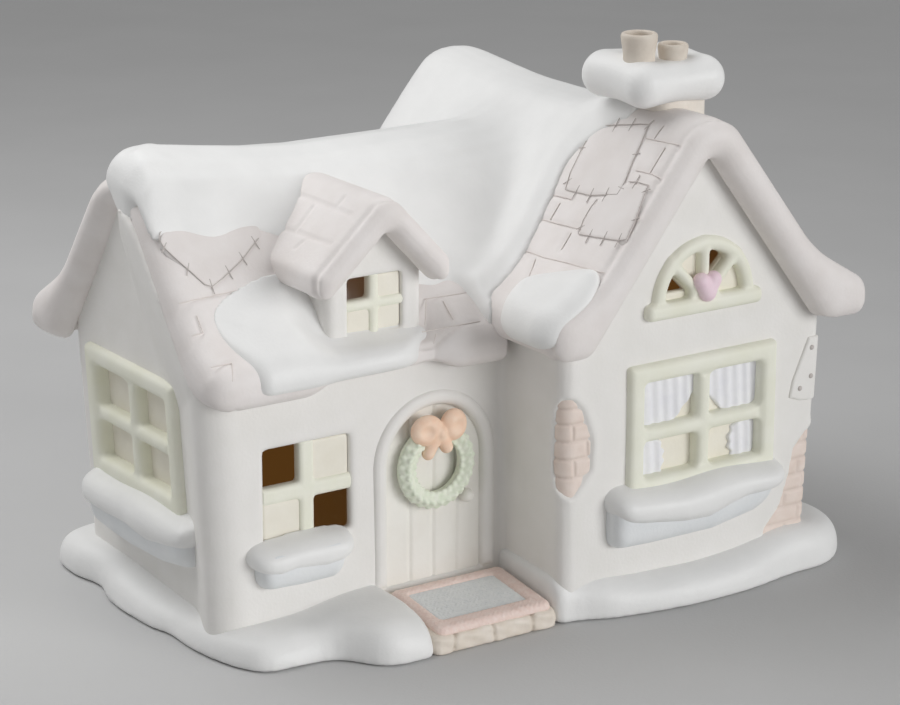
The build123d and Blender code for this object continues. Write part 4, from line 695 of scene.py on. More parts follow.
def house_walls(x, y, z):
    main, gable = wing_blocks(x, y, z, 0)
    gable_top = gable_cover(x, z + ridge_sag(x, y))
    outer = soft_min(np.maximum(main, main_cover(y, z) + MAIN_TOP),
                     soft_max(gable, gable_top + GABLE_TOP, blend=1), blend=3)
    for place in BROKEN_PLACES.values():
        beside = np.abs(x - place["corner"])
        broken = outline(place["edge"], round_corner(x, y, place["corner"]), z)
        lip = np.where(beside < BROKEN_REACH, LIP_HEIGHT * bell(broken, LIP_WIDTH), 0)
        outer = soft_max(outer - lip, -np.maximum(broken, beside - BROKEN_REACH), blend=0.8)
    outer = soft_min(outer, np.maximum(gable + BRICK_BED, gable_top + GABLE_TOP), blend=0.3)
    main_room, gable_room = wing_blocks(x, y, z, WALL_THICKNESS)
    room = np.minimum(np.maximum(main_room, main_cover(y, z) + CEILING),
                      np.maximum(gable_room, gable_top + CEILING))
    shell = soft_max(outer + unevenness(x, y, z), -np.maximum(room, FLOOR - z), blend=1)
    shell = np.maximum(shell, FLOOR - z)
    through = 2 * WALL_THICKNESS
    along, up, out = front_wall(x, y, z)
    depth = np.abs(out) - through
    front = np.maximum(panel(along, up, *front_box, 0, rounding=0.6), depth)
    door = np.maximum(door_arch(along, up), depth)
    along, up, out = gable_wall(x, y, z)
    depth = np.abs(out) - through
    sill = fan_low[2] + FAN_SILL
    fan = shared(span(along - fan_middle, up - sill) - FAN_RADIUS + FAN_RIM / 2, sill - up, depth)
    parlour = np.maximum(panel(along, up, *parlour_box, WINDOW_INSET, rounding=1), depth)
    along, up, out = left_wall(x, y, z)
    side = np.maximum(panel(along, up, *side_box, WINDOW_INSET, rounding=1), np.abs(out) - through)
    lamp = np.maximum(span(x - LAMP_X, z - LAMP_Z) - LAMP_HOLE_RADIUS, np.abs(y - Y_REAR) - through)
    for cut in (front, fan, door, side, parlour, lamp):
        shell = soft_max(shell, -cut, blend=1)
    return shell


# The painted shade and glow of the rooms' inside come in over these depths into the walls.
WALL_SHADE_DEPTHS, DORMER_SHADE_DEPTHS = (2.4, 3.3), (2.0, 2.9)  # depths at which the walls' inside starts


def inside_painted_shade(x, y, z):
    """How far a point of the walls lies inside the rooms, as the amount of painted shade and glow there."""
    main, gable = wing_blocks(x, y, z, 0)
    return ramp(-np.minimum(main, gable), *WALL_SHADE_DEPTHS)


# Points inside the rooms carry painted shade and a painted glow.
mould("walls", ["house_walls"], wall_bisque, house_walls, low=(-98, -64, 2), high=(90, 60, 132), cell=0.95,
      marks={"inside": inside_painted_shade})

BRICK_SET = 0.35           # the bricks lie this far behind the plaster
BRICK_LAP = 0.3
BRICK_BACK = 2.5


def bricks(place):
    """Field of the bricks in one broken place of the gable's wall."""
    def field(x, y, z):
        along = round_corner(x, y, place["corner"])
        face = wing_blocks(x, y, z, 0)[1]
        skin_above = face + BRICK_SET + brick_joints(place, along, z)
        patch = soft_max(skin_above, outline(place["edge"], along, z) - BRICK_LAP, blend=0.6)
        return np.maximum(patch, -face - BRICK_BACK)
    return field


def joint_tint(place):
    """Tint of the joints between bricks."""
    return lambda x, y, z: brick_joints(place, round_corner(x, y, place["corner"]), z)


for node, place in BROKEN_PLACES.items():
    mould(node, [node], brick_bisque, bricks(place), place["low"], place["high"], place["cell"],
          {"joint": joint_tint(place)})

NAILED_PATCH = [(72.1, 50.3), (73.3, 55.3), (78.5, 66.8), (83.8, 66.6), (84.6, 57.0), (83.2, 48.2),
                (76.0, 48.9)]
NAILS = [(79.4, 63.8), (75.6, 52.6), (79.4, 55.6)]
NAIL_RADII, NAIL_OUT = (0.8, 0.5, 0.8), 0.6
NAILED_DEPTH, NAILED_BACK = 0.7, 1.0


def nailed_patch(x, y, z):
    face = wing_blocks(x, y, z, 0)[1]
    edge = outline(NAILED_PATCH, round_corner(x, y, X_RIGHT), z)
    return np.maximum(soft_max(face - NAILED_DEPTH, edge, blend=0.7), -face - NAILED_BACK)


def nail_heads(x, y, z):
    heads = [pebble((x - along, y - Y_GABLE + NAIL_OUT, z - up), NAIL_RADII) for along, up in NAILS]
    return np.minimum.reduce(heads)


mould("nailed_patch", ["wall_patch"], wall_bisque, nailed_patch, low=(70, -62, 46), high=(85, -54, 69),
      cell=0.3)
mould("patch_nails", [], pencil_line, nail_heads, low=(74, -62, 51), high=(84, -58, 66), cell=0.2)

# Snowy ground
GROUND_EDGE_SHARES = [
    (-0.95, 0.88), (-0.985, 0.68), (-0.965, 0.5), (-1.0, 0.3), (-1.0, 0.02), (-0.98, -0.12),
    (-0.98, -0.28), (-0.965, -0.44), (-0.93, -0.59), (-0.87, -0.67), (-0.7, -0.7), (-0.6, -0.86),
    (-0.45, -0.885), (-0.05, -0.875), (0.12, -0.95), (0.33, -1.0), (0.55, -1.0), (0.72, -0.96),
    (0.89, -0.93), (1.0, -0.76), (1.0, -0.42), (0.965, 0.0), (0.99, 0.45), (0.94, 0.86), (0.72, 0.96),
    (0.42, 1.0), (0.2, 1.0), (-0.05, 0.965), (-0.4, 0.99), (-0.75, 0.965)]
GROUND_HALVES = (97.0, 67.9)
GROUND_HEIGHTS = [
    (-88, 52, 9.5), (-88, 31, 8.3), (-88, 9, 8.0), (-88, -16, 6.5), (-88, -32, 8.9), (-94, 35, 10.0),
    (-80, -32, 9.6), (-68, -32, 7.9), (-59, -36, 10.1), (-52, -36, 13.0), (-50, -47, 12.0),
    (-45, -32, 11.3), (-75, -42, 7.0), (-92, -30, 6.5), (-96, 0, 6.0), (-40, -60, 7.0), (-7, -35, 14.0),
    (-4, -55, 13.0), (8, -60, 12.0), (26, -60, 10.8), (38, -62, 8.4), (46, -60, 9.0), (56, -61, 12.0),
    (72, -60, 14.0), (82, -55, 13.5), (84, -20, 11.5), (84, 20, 10.5), (84, 56, 10.5), (40, 58, 10.0),
    (0, 58, 9.0), (-50, 58, 9.5), (20, -67, 7.5), (55, -67, 8.0), (90, -60, 9.0), (94, -20, 8.0),
    (94, 30, 8.0), (60, 66, 7.5), (0, 66, 7.0), (-60, 66, 7.0)]
step_low, step_high = box_of("door_step")
ground_low, ground_high = box_of("snow_base")
GROUND_SWELL = 9.0         # width of the ground's hills
NOTCH_BACK, NOTCH_FLOOR = 6.0, 1.0


def snowy_ground(x, y, z):
    edge = outline(flowing([(across * GROUND_HALVES[0], along * GROUND_HALVES[1])
                            for across, along in GROUND_EDGE_SHARES]), x, y)
    top = z - hills(x, y, GROUND_HEIGHTS, GROUND_SWELL)
    heap = soft_max(soft_max(edge, top, blend=8), -z, blend=1.5)
    notch = slab((x, step_low[0], step_high[0]),
                 (y, 2 * step_low[1] - step_high[1], step_high[1] + NOTCH_BACK), rounding=2)
    return soft_max(heap, -np.maximum(notch, NOTCH_FLOOR - z), blend=2.5)


mould("snowy_ground", ["snow_base"], snow_bisque, snowy_ground, ground_low, ground_high + 3, cell=0.9)

# Roofs: lines between shingles, in plan. The hidden slopes carry the same lines, mirrored at the ridge.
MAIN_GROOVES = [
    [(-95, -19.2), (-77.9, -18.7)], [(-91.4, -21.8), (-91.7, -25.4)], [(-91.7, -25.4), (-95, -25.6)],
    [(-94.7, -34.6), (-88.7, -34.5)], [(-88.7, -34.5), (-90.7, -40.8)], [(-25.8, -26.7), (-8.5, -27)],
    [(-8, -26.3), (-0.1, -26.6)], [(-20.9, -28), (-21.5, -33.6)], [(-32.6, -35.7), (-14.3, -35.7)],
    [(-29, -36.8), (-30.6, -42.6)], [(-25.4, -26.7), (-30.5, -33.9)]]
GABLE_GROOVES = [
    [(28.7, -49.8), (29.2, -66.2)], [(31.8, -53.3), (29.1, -52.7)],
    [(23.1, -53), (23.3, -58.7), (23.1, -66.5)], [(28.1, -58.7), (23.5, -58.5)],
    [(14.9, -27.3), (15.2, -35.5)], [(14, -31.8), (10.8, -31.8)],
    [(10.4, -28.3), (10.7, -38.7), (11, -46)], [(9.9, -42.6), (6.7, -42.6)],
    [(4.2, -29.2), (4.3, -38.7), (4.9, -49.1), (5.3, -61.8), (5.5, -66)], [(3.3, -35.7), (-1.9, -39.4)]]
DORMER_GROOVES = [
    [(-51.3, -5.1), (-51.4, -31.1)], [(-48.6, -23.7), (-51.2, -24)],
    [(-59.1, -9.2), (-58.6, -18.1), (-58.4, -32.6)], [(-52.3, -14.9), (-58.6, -15.6)],
    [(-59.4, -22), (-61.6, -21)]]
VERGE_GROOVES = 5          # the main roof's first grooves lie at its left verge, on the front slope only
GROOVE_HALF, GROOVE_DEPTH = 1.3, 0.4
GROOVE_END = -36.0         # grooves of the main roof fade out above its front eave


def mirrored(lines, axis, middle, first=0):
    """Lines in plan together with the mirror image on the far slope of those after the first few."""
    far = [[tuple(2 * middle - value if place == axis else value for place, value in enumerate(point))
            for point in line] for line in lines[first:]]
    return lines + far


def slope_grooves(lines, x, y, stretch_x, stretch_y):
    """Depth of the grooves on a slope, with plan distances stretched to lie along it."""
    stretched = [[(px * stretch_x, py * stretch_y) for px, py in line] for line in lines]
    return scored(stretched, x * stretch_x, y * stretch_y, GROOVE_HALF, GROOVE_DEPTH)


def main_grooves(x, y):
    return slope_grooves(mirrored(MAIN_GROOVES, 1, RIDGE_Y, VERGE_GROOVES), x, y, 1, PITCH_STRETCH)


def gable_grooves(x, y):
    return slope_grooves(mirrored(GABLE_GROOVES, 0, RIDGE_X), x, y, PITCH_STRETCH, 1)


MAIN_BAND, GABLE_BAND, DORMER_BAND = 8.5, 4.6, 3.8
BAND_FADE = 1.0            # grooves fade out over this distance at a verge's band
GROOVE_FADE = 3.0
LEFT_END = LEFT_VERGE - 1.9  # the rolled left verge comes this far out
FRONT_EDGE = -67.9         # the rolled front verge comes this far forward
ROOF_MEET = 4.0            # each roof runs this far into the other
DIP_DEPTH, DIP_FADE = 3.4, 10.0
DIP_REAR, DIP_FRONT = (24.0, 31.0), (33.0, 43.0)  # distances in front of the middle


def front_dip(x, y):
    """How far the roof is pressed down in front of the dormer's window."""
    across = 1 - ramp(np.abs(x - DORMER_X), DORMER_HALF, DORMER_HALF + DIP_FADE)
    return DIP_DEPTH * across * ramp(-y, *DIP_REAR) * (1 - ramp(-y, *DIP_FRONT))


def main_roof(x, y, z):
    share = front_share(y)
    behind = x - LEFT_END
    top = outline(MAIN_BLOCK, y - RIDGE_Y, z) - verge_roll(behind, MAIN_BAND) * (1 - share)
    top = top + main_grooves(x, y) * ramp(y, GROOVE_END - GROOVE_FADE, GROOVE_END) + front_dip(x, y)
    under = -outline(MAIN_UNDER, y - RIDGE_Y, z) - verge_depth(behind) * (1 - share)
    ends = np.maximum(LEFT_END - x, x - RIDGE_X)
    rolled = soft_max(soft_max(top, under, blend=2.5), ends, blend=9)
    flush = np.maximum(soft_max(top, ends, blend=8), under)
    return np.maximum(share * flush + (1 - share) * rolled, -gable_cover(x, z) - ROOF_MEET)


def gable_roof(x, y, z):
    behind = np.minimum(y - FRONT_EDGE, REAR_VERGE - y)
    height = z
    z = height + ridge_sag(x, y)
    top = outline(GABLE_BLOCK, x - RIDGE_X, z) - verge_roll(behind, GABLE_BAND)
    top = top + gable_grooves(x, y) * ramp(behind, GABLE_BAND - BAND_FADE, GABLE_BAND)
    under = -outline(GABLE_UNDER, x - RIDGE_X, z) - verge_depth(behind)
    sheet = soft_max(soft_max(top, under, blend=2.5), -behind, blend=7)
    return np.maximum(sheet, np.where(x < RIDGE_X, -main_cover(y, height) - ROOF_MEET, -FAR))


mould_node("main_roof", roof_bisque, main_roof, cell=0.65, below=(3, 0, 0), above=1)
mould_node("gable_roof", roof_bisque, gable_roof, cell=0.65, below=(0, 2, 0), above=1)

# Stitched patches on the roofs, in plan
MAIN_PATCH = [
    (-91.6, -6.6), (-93.7, -7.7), (-94.6, -8.8), (-94.0, -10.2), (-91.5, -12.7), (-88.6, -15.2),
    (-86.4, -17.3), (-84.6, -17.8), (-81.2, -16.9), (-74.5, -14.6), (-69.6, -12.4), (-65.5, -10.5),
    (-65.0, -5.0), (-80.0, -3.0)]
UPPER_PATCH = [
    (28.1, -30.2), (30.3, -45), (30.7, -48.3), (26.8, -49.7), (23.8, -50.4), (20.4, -51.9), (18, -51.8),
    (16.4, -42), (16, -31.3), (19, -29.4), (23.6, -28.4), (26.3, -28.3)]
LOWER_PATCH = [
    (16.2, -45.4), (14.4, -44.8), (12.1, -44.9), (9.7, -46), (10.3, -54.9), (10.9, -62), (11.5, -64.6),
    (15, -63.7), (17.4, -62.6), (20, -61.5), (21, -61.1), (20.9, -56), (20.4, -51.9)]
PATCH_DEPTH, PATCH_BACK = 0.3, 1.2


def roof_patch(cover, edge):
    """Field of a thin patch on the main roof or the gable roof."""
    def field(x, y, z):
        above = cover(y if cover is main_cover else x, z)
        patch = soft_max(above - PATCH_DEPTH, outline(edge, x, y), blend=0.7)
        return np.maximum(patch, -above - PATCH_BACK)
    return field


for node, cover, edge in (("main_roof_patch", main_cover, MAIN_PATCH),
                          ("gable_patch_upper", gable_cover, UPPER_PATCH),
                          ("gable_patch_lower", gable_cover, LOWER_PATCH)):
    mould_node(node, patch_bisque, roof_patch(cover, edge), cell=0.45, below=4, above=4)

LINE_STEP = 1.5            # distance between the points of a drawn line
STITCH_RADIUS, STITCH_LENGTH, STITCH_EVERY = 0.13, 2.6, 5.5
STITCH_LIFT = 0.1
SHINGLE_LINE, SHINGLE_DROP = 0.14, 0.3
EAVE_LINE = -38.2          # lines on the main roof stop at its front eave


def stepped(a, b, least, ends):
    """Places along a straight run, in at least so many steps, with its end or without."""
    steps = max(least, round(math.dist(a, b) / LINE_STEP))
    return [(a[0] + (b[0] - a[0]) * step / steps, a[1] + (b[1] - a[1]) * step / steps)
            for step in range(steps + ends)]


def on_roof(cover, place, lift):
    """A point above a roof's skin, from its place in plan."""
    return (*place, height_on(cover, place[1] if cover is main_cover else place[0]) + lift)


def stitching(cover, edge, count):
    """A seam along a patch's edge with short cross stitches, as lines of points on the roof."""
    seam = []
    for a, b in zip(edge[:count], edge[1:count + 1]):
        seam += stepped(a, b, 1, 0)
    lines = [seam]
    every = round(STITCH_EVERY / LINE_STEP)
    for index in range(every, len(seam) - 1, every):
        run = Vector(seam[index + 1]) - Vector(seam[index - 1])
        cross = Vector((-run.y, run.x)).normalized() * STITCH_LENGTH / 2
        middle = Vector(seam[index])
        lines.append([middle - cross, middle, middle + cross])
    return [[on_roof(cover, place, PATCH_DEPTH + STITCH_LIFT) for place in line] for line in lines]


def shingle_lines(lines, cover):
    """The lines between shingles, as points in the bottom of their grooves."""
    placed = []
    for line in lines:
        places = []
        for a, b in zip(line, line[1:]):
            places += stepped(a, b, 2, 1)
        placed.append([on_roof(cover, place, -SHINGLE_DROP) for place in places])
    return placed


gable_lines = [[(px, max(py, FRONT_EDGE + GABLE_BAND)) for px, py in line] for line in GABLE_GROOVES]
main_lines = [[(px, max(py, EAVE_LINE)) for px, py in line] for line in MAIN_GROOVES]
main_lines = shingle_lines(mirrored(main_lines, 1, RIDGE_Y, VERGE_GROOVES), main_cover)
gable_lines = shingle_lines(mirrored(gable_lines, 0, RIDGE_X), gable_cover)
draw_lines("shingle_lines", main_lines + gable_lines, SHINGLE_LINE, shingle_line)
draw_lines("roof_stitching", stitching(main_cover, MAIN_PATCH, 11) + stitching(gable_cover, UPPER_PATCH, 11)
           + stitching(gable_cover, LOWER_PATCH, 12), STITCH_RADIUS, pencil_line)

# Snow on the roofs
MAIN_SNOW_SHARES = [
    (-0.02, -0.41), (0.06, -0.47), (0.12, -0.51), (0.19, -0.49), (0.25, -0.53), (0.51, -0.81),
    (0.59, -0.82), (0.65, -0.85), (0.71, -0.74), (0.78, -0.68), (1.0, -0.67), (1.0, 0.6), (0.86, 0.63),
    (0.63, 0.54), (0.41, 0.7), (0.19, 0.59), (0.075, 0.5), (0.06, 0.22), (0.02, 0.07), (-0.02, 0.0)]
GABLE_SNOW_SHARES = [
    (0.127, 0.0), (0.19, -0.153), (0.253, -0.237), (0.313, -0.395), (0.3, -0.558), (0.286, -0.72),
    (0.27, -0.907), (0.259, -1.093), (0.274, -1.25), (1.0, -1.25), (1.01, 1.14), (0.745, 1.186),
    (0.513, 0.953), (0.4, 0.63), (0.28, 0.372), (0.19, 0.186)]
MAIN_EAVE_SNOW_SHARES = [
    (0.12, -0.71), (0.06, -0.79), (0.06, -0.97), (0.085, -1.15), (0.11, -1.28), (0.26, -1.34),
    (0.36, -1.29), (0.42, -1.22), (0.46, -1.1), (0.485, -0.96), (0.26, -0.74), (0.22, -0.67)]
GABLE_EAVE_SNOW_SHARES = [
    (0.212, -1.035), (0.197, -1.18), (0.155, -1.36), (0.081, -1.4), (0.02, -1.36), (0.003, -1.09),
    (0.006, -0.888), (0.035, -0.79), (0.112, -0.837), (0.19, -0.93)]
RIGHT_EAVE_SNOW = [(74, -66), (84, -67.6), (93, -66.5), (95, -58), (93, -47), (85, -44), (76, -52)]
MAIN_RUN = RIDGE_X - LEFT_VERGE
GABLE_RUN = REAR_VERGE - FRONT_VERGE
CREST_PLACES = [-95, -91, -87, -81, -71, -55, -41, -14, 40]
CREST_DEPTHS = [7.4, 7.6, 7.4, 6.8, 5.4, 3.4, 2.4, 2.2, 2.4]
CREST_WIDTH = 22.0
SNOW_DEPTH, GABLE_SNOW_DEPTH = 2.0, 2.6
SNOW_LIP = 0.7             # depth at the very edge of a patch of snow
SNOW_FEATHER = 7.0         # the snow deepens from its lip over this distance
SNOW_BED = 1.5             # the snow reaches this far into the roof
SNOW_MEET = 3.0            # each roof's snow runs this far into the other roof
SNOW_END = -97.6
END_HANG = 9.0             # how far the snow hangs down over the end of the ridge
HANG_SPAN = (89.0, 95.0)
HANG_START, HANG_FADE = 6.0, 13.0
END_SNOW, END_SNOW_X = (1.5, 18.0), (-120.0, -84.0)
END_NEAR = 11.0            # how far from the ridge the snow's end stays full
END_EDGE, END_SOFTER = 1.5, 8.5
DORMER_THIN, THIN_PLACE, THIN_SPREAD = 0.55, (DORMER_X, -6.0), 250.0
WORN_DEPTH, WORN_WIDTH = 1.5, 9.0
BANK_PLACE, BANK_SPREAD = (29.0, STACK_Y), 60.0
REAR_HANG = 0.5
LUMP_DEPTH, LUMP_LIP, LUMP_FOOT = 3.2, 1.8, 76.0


def main_plan(shares, x, y):
    """Distance in plan outside an outline on the main roof, given along its ridge and across it."""
    return outline(flowing([(LEFT_VERGE + along * MAIN_RUN, RIDGE_Y + across * MAIN["half"])
                            for along, across in shares]), x, y)


def gable_plan(shares, x, y):
    """Distance in plan outside an outline on the gable roof."""
    return outline(flowing([(RIDGE_X + across * GABLE["half"], FRONT_VERGE + along * GABLE_RUN)
                            for along, across in shares]), x, y)


def blanket(above, plan, depth, lip, feather=SNOW_FEATHER):
    """Snow on a roof's skin that deepens inward from a low lip along its outline."""
    thickness = lip + (depth - lip) * ramp(-plan, 0, feather)
    return np.maximum(soft_max(above - thickness, plan, 2 * lip), -above - SNOW_BED)


def main_roof_snow(x, y, z):
    """Snow on the main roof, which domes over the left end of the ridge and hangs down there."""
    crest = np.interp(x, CREST_PLACES, CREST_DEPTHS) - SNOW_DEPTH
    depth = SNOW_DEPTH + crest * bell(y - RIDGE_Y, CREST_WIDTH)
    depth = depth * (1 - DORMER_THIN * mound(x, y, THIN_PLACE, THIN_SPREAD))
    hang = END_HANG * ramp(-x, *HANG_SPAN) * ramp(RIDGE_Y + HANG_START - y, 0, HANG_FADE)
    above = main_cover(y, z)
    snow = blanket(above, main_plan(MAIN_SNOW_SHARES, x, y), depth, SNOW_LIP)
    near_ridge = bell(y - RIDGE_Y, END_NEAR)
    end = LEFT_END + (SNOW_END - LEFT_END) * near_ridge - x
    dome = soft_max(soft_max(above - depth, end, blend=10), -above - SNOW_BED - hang, blend=4)
    dome = soft_max(dome, slab((y, *END_SNOW), (x, *END_SNOW_X), rounding=1), blend=5)
    return soft_min(soft_max(snow, end, END_EDGE + END_SOFTER * near_ridge), dome, blend=3)


def roof_snow(x, y, z):
    above = gable_cover(x, z + ridge_sag(x, y))
    worn = WORN_DEPTH * bell(x - RIDGE_X, WORN_WIDTH)
    bank = STACK_BANK * mound(x, y, BANK_PLACE, BANK_SPREAD)
    gable = blanket(above, gable_plan(GABLE_SNOW_SHARES, x, y), GABLE_SNOW_DEPTH - worn + bank, SNOW_LIP)
    gable = soft_max(gable, y - REAR_VERGE - REAR_HANG, blend=10)
    lump = blanket(above, outline(flowing(RIGHT_EAVE_SNOW), x, y), LUMP_DEPTH, LUMP_LIP)
    main = np.maximum(main_roof_snow(x, y, z), -gable_cover(x, z) - SNOW_MEET)
    gable = np.maximum(gable, np.where(x < RIDGE_X, -main_cover(y, z) - SNOW_MEET, -FAR))
    return np.minimum(soft_min(main, gable, blend=8), soft_max(lump, LUMP_FOOT - z, blend=4))


snow_low, snow_high = box_of("main_roof_snow", "gable_roof_snow")
mould("roof_snow", ["main_roof_snow", "gable_roof_snow"], snow_bisque, roof_snow, snow_low - 3, snow_high + 3,
      cell=0.85)

MAIN_EAVE_DEPTH, MAIN_EAVE_FOOT = 2.2, 71.8
MAIN_EAVE_LIP, LIP_GAIN, LIP_SPAN = 0.3, 1.4, (24.0, 36.0)
GABLE_EAVE_DEPTH, GABLE_EAVE_LIP, GABLE_EAVE_FOOT = 3.8, 2.2, 78.0


def main_eave_snow(x, y, z):
    plan = main_plan(MAIN_EAVE_SNOW_SHARES, x, y)
    lip = MAIN_EAVE_LIP + LIP_GAIN * ramp(-y, *LIP_SPAN)
    snow = blanket(main_cover(y, z) + front_dip(x, y), plan, MAIN_EAVE_DEPTH, lip, 2 * SNOW_FEATHER)
    return soft_max(snow, MAIN_EAVE_FOOT - z, blend=3)


def gable_eave_snow(x, y, z):
    plan = gable_plan(GABLE_EAVE_SNOW_SHARES, x, y)
    snow = blanket(gable_cover(x, z), plan, GABLE_EAVE_DEPTH, GABLE_EAVE_LIP)
    return soft_max(snow, GABLE_EAVE_FOOT - z, blend=5)


for node, field in (("main_eave_snow", main_eave_snow), ("gable_eave_snow", gable_eave_snow)):
    mould_node(node, snow_bisque, field, cell=0.55, below=3, above=2)

# Dormer
DORMER_PITCH = math.radians(47.0)
DORMER_RIDGE = 118.0
DORMER_ROUND = 5.0
DORMER_REACH = 18.6
DORMER_ROOF = 6.0
DORMER_EAVE = 7.0
DORMER_EAVE_ROUND, DORMER_UNDER_ROUND = 3.4, 3.0
DORMER_LEFT_STRETCH = 1.16
DORMER_REAR, DORMER_BED = 4.0, 2.0
DORMER_WALL, DORMER_THROUGH = 3.0, 5.0
DORMER_LAP = 1.0           # the walls reach this far into the roof
dormer_low = box_of("dormer_roof")[0]
dormer_pane_low, dormer_pane_high = box_of("dormer_sash")
dormer_pane_low[2] -= DIP_DEPTH


def dormer_lines():
    """Outer line of the dormer roof's section and the line of the space below it."""
    slope = math.tan(DORMER_PITCH)
    apex = DORMER_RIDGE + DORMER_ROUND * (1 / math.cos(DORMER_PITCH) - 1)
    tip = apex - DORMER_REACH * slope
    low = tip - DORMER_EAVE
    eave, inner = DORMER_EAVE_ROUND, DORMER_UNDER_ROUND
    outer = rounded([(-DORMER_REACH, low), (-DORMER_REACH, tip), (0, apex), (DORMER_REACH, tip),
                     (DORMER_REACH, low)], [eave, eave, DORMER_ROUND, eave, eave])
    peak = apex - DORMER_ROOF / math.cos(DORMER_PITCH)
    foot = (peak - low) / slope
    under = rounded([(-2 * DORMER_REACH, 0), (-2 * DORMER_REACH, low), (-foot, low), (0, peak), (foot, low),
                     (2 * DORMER_REACH, low), (2 * DORMER_REACH, 0)], [0, 0, inner, inner, inner, 0, 0])
    return outer, under


DORMER_OUTER, DORMER_UNDER = dormer_lines()


def dormer_grooves(x, y):
    return slope_grooves(mirrored(DORMER_GROOVES, 0, DORMER_X), x, y, 1 / math.cos(DORMER_PITCH), 1)


def dormer_across(x):
    """Distance from the dormer's ridge, with its longer left slope brought to the right one's."""
    return np.where(x < DORMER_X, (x - DORMER_X) / DORMER_LEFT_STRETCH, x - DORMER_X)


def dormer_roof(x, y, z):
    behind = y - dormer_low[1]
    across = dormer_across(x)
    top = outline(DORMER_OUTER, across, z) - verge_roll(behind, DORMER_BAND)
    top = top + dormer_grooves(x, y) * ramp(behind, DORMER_BAND - BAND_FADE, DORMER_BAND)
    sheet = soft_max(top, -outline(DORMER_UNDER, across, z) - verge_depth(behind) / 2, blend=2)
    sheet = soft_max(soft_max(sheet, -behind, blend=6), y - DORMER_REAR, blend=8)
    return np.maximum(sheet, -main_cover(y, z) - DORMER_BED)


def dormer_cover(x, z):
    """Distance above the dormer roof's skin."""
    return outline(DORMER_OUTER, dormer_across(np.asarray(x)), z)


draw_lines("dormer_lines", shingle_lines(DORMER_GROOVES, dormer_cover), SHINGLE_LINE, shingle_line)
mould_node("dormer_roof", roof_bisque, dormer_roof, cell=0.45, below=(4, 0, 2), above=1)


def dormer_block(x, y):
    """Distance outside the dormer's walls in plan."""
    return slab((x, DORMER_X - DORMER_HALF, DORMER_X + DORMER_HALF), (y, Y_FRONT, -Y_FRONT), rounding=2.5)


def dormer_walls(x, y, z):
    block = dormer_block(x, y)
    under = outline(DORMER_UNDER, dormer_across(x), z) - DORMER_LAP
    shell = shared(block, under, -main_cover(y, z) - DORMER_BED - DIP_DEPTH)
    room = np.maximum(block + DORMER_WALL, under + DORMER_WALL)
    window = panel(x, z, dormer_pane_low[[0, 2]], dormer_pane_high[[0, 2]], 0, rounding=1)
    window = np.maximum(window, np.abs(y - Y_FRONT) - DORMER_THROUGH)
    return soft_max(np.maximum(shell, -room), -window, blend=1)


# The dormer's inside carries the same painted shade and painted glow as the house walls.
mould_node("dormer_walls", wall_bisque, dormer_walls, cell=0.5, below=(0, 0, 6),
           marks={"inside": lambda x, y, z: ramp(-dormer_block(x, y), *DORMER_SHADE_DEPTHS)})

# Chimney
cap_low, cap_high = box_of("chimney_snow_cap")
stack_high = box_of("chimney_stack")[1]
CAP_LIFT = 1.8             # the cap's soft underside stays clear of the ridge
CAP_INSET = 1.4
DENT_ACROSS, DENT_ALONG = (0.5, 5.0), (0.4, 4.5, 6.0)  # depth and lengths of the cap's dents
STACK_BED = 3.0
POT_WALL, POT_BORE = 1.5, 7.0
POT_RIB, POT_RIB_LENGTH = 0.35, 2.2


def chimney_cap(x, y, z):
    pillow = slab((x, cap_low[0] + CAP_INSET, cap_high[0] - CAP_INSET),
                  (y, cap_low[1] + CAP_INSET, cap_high[1] - CAP_INSET),
                  (z, cap_low[2] + CAP_LIFT, cap_high[2]), rounding=5.9)
    depth, run = DENT_ACROSS
    dent = depth * np.sin(x / run)
    depth, run, rise = DENT_ALONG
    return pillow + (dent + depth * np.sin(y / run + z / rise))


def chimney_stack(x, y, z):
    block = slab((x, STACK_X - STACK_HALVES[0], STACK_X + STACK_HALVES[0]),
                 (y, STACK_Y - STACK_HALVES[1], STACK_Y + STACK_HALVES[1]), rounding=4)
    return shared(block, z - stack_high[2], -gable_cover(x, z) - STACK_BED)


def chimney_pot(low, high):
    """Field of a hollow pot with a soft lip in a node's box."""
    def field(x, y, z):
        middle = (low + high) / 2
        outer = span(x - middle[0], y - middle[1]) - (high[0] - low[0]) / 2
        bore = np.maximum(outer + POT_WALL, high[2] - POT_BORE - z)
        ribbed = outer + POT_RIB * (1 - np.cos((z - high[2]) / POT_RIB_LENGTH))
        return soft_max(soft_max(ribbed, z - high[2], blend=1.6), -bore, blend=1.2)
    return field


mould_node("chimney_snow_cap", snow_bisque, chimney_cap, cell=0.5)
mould_node("chimney_stack", stack_bisque, chimney_stack, cell=0.6)
for node in ("chimney_pot_tall", "chimney_pot_short"):
    mould_node(node, pot_bisque, chimney_pot(*box_of(node)), cell=0.3)

# Windows
FRAME_WIDTH, FRAME_PROUD, FRAME_ROUND = 5.3, 2.4, 2.4
BAR_WIDTH, BAR_PROUD = 4.3, 1.6
PANE_FACE, PANE_BACK, PANE_LAP = -2.4, -4.4, 1.0
PARLOUR_BARS = (42.0, 48.6)
SIDE_BARS = (17.7, 49.0)


def window_frame(along, up, out, low, high, bars):
    """A soft frame with a cross of bars, from places along and up a wall."""
    opening = panel(along, up, low, high, FRAME_WIDTH)
    rim = soft_max(panel(along, up, low, high, 0), -opening, blend=1.5)
    rim = soft_max(rim, out - FRAME_PROUD, FRAME_ROUND)
    cross = soft_min(np.abs(along - bars[0]) - BAR_WIDTH / 2, np.abs(up - bars[1]) - BAR_WIDTH / 2, blend=1.6)
    cross = soft_max(np.maximum(cross, opening), out - BAR_PROUD, FRAME_ROUND)
    return np.maximum(soft_min(rim, cross, blend=1.6), PANE_BACK - out)


def window_panes(along, up, out, low, high):
    """The sheet behind a frame's bars."""
    return shared(panel(along, up, low, high, FRAME_WIDTH - PANE_LAP), out - PANE_FACE,
                  PANE_BACK - out)


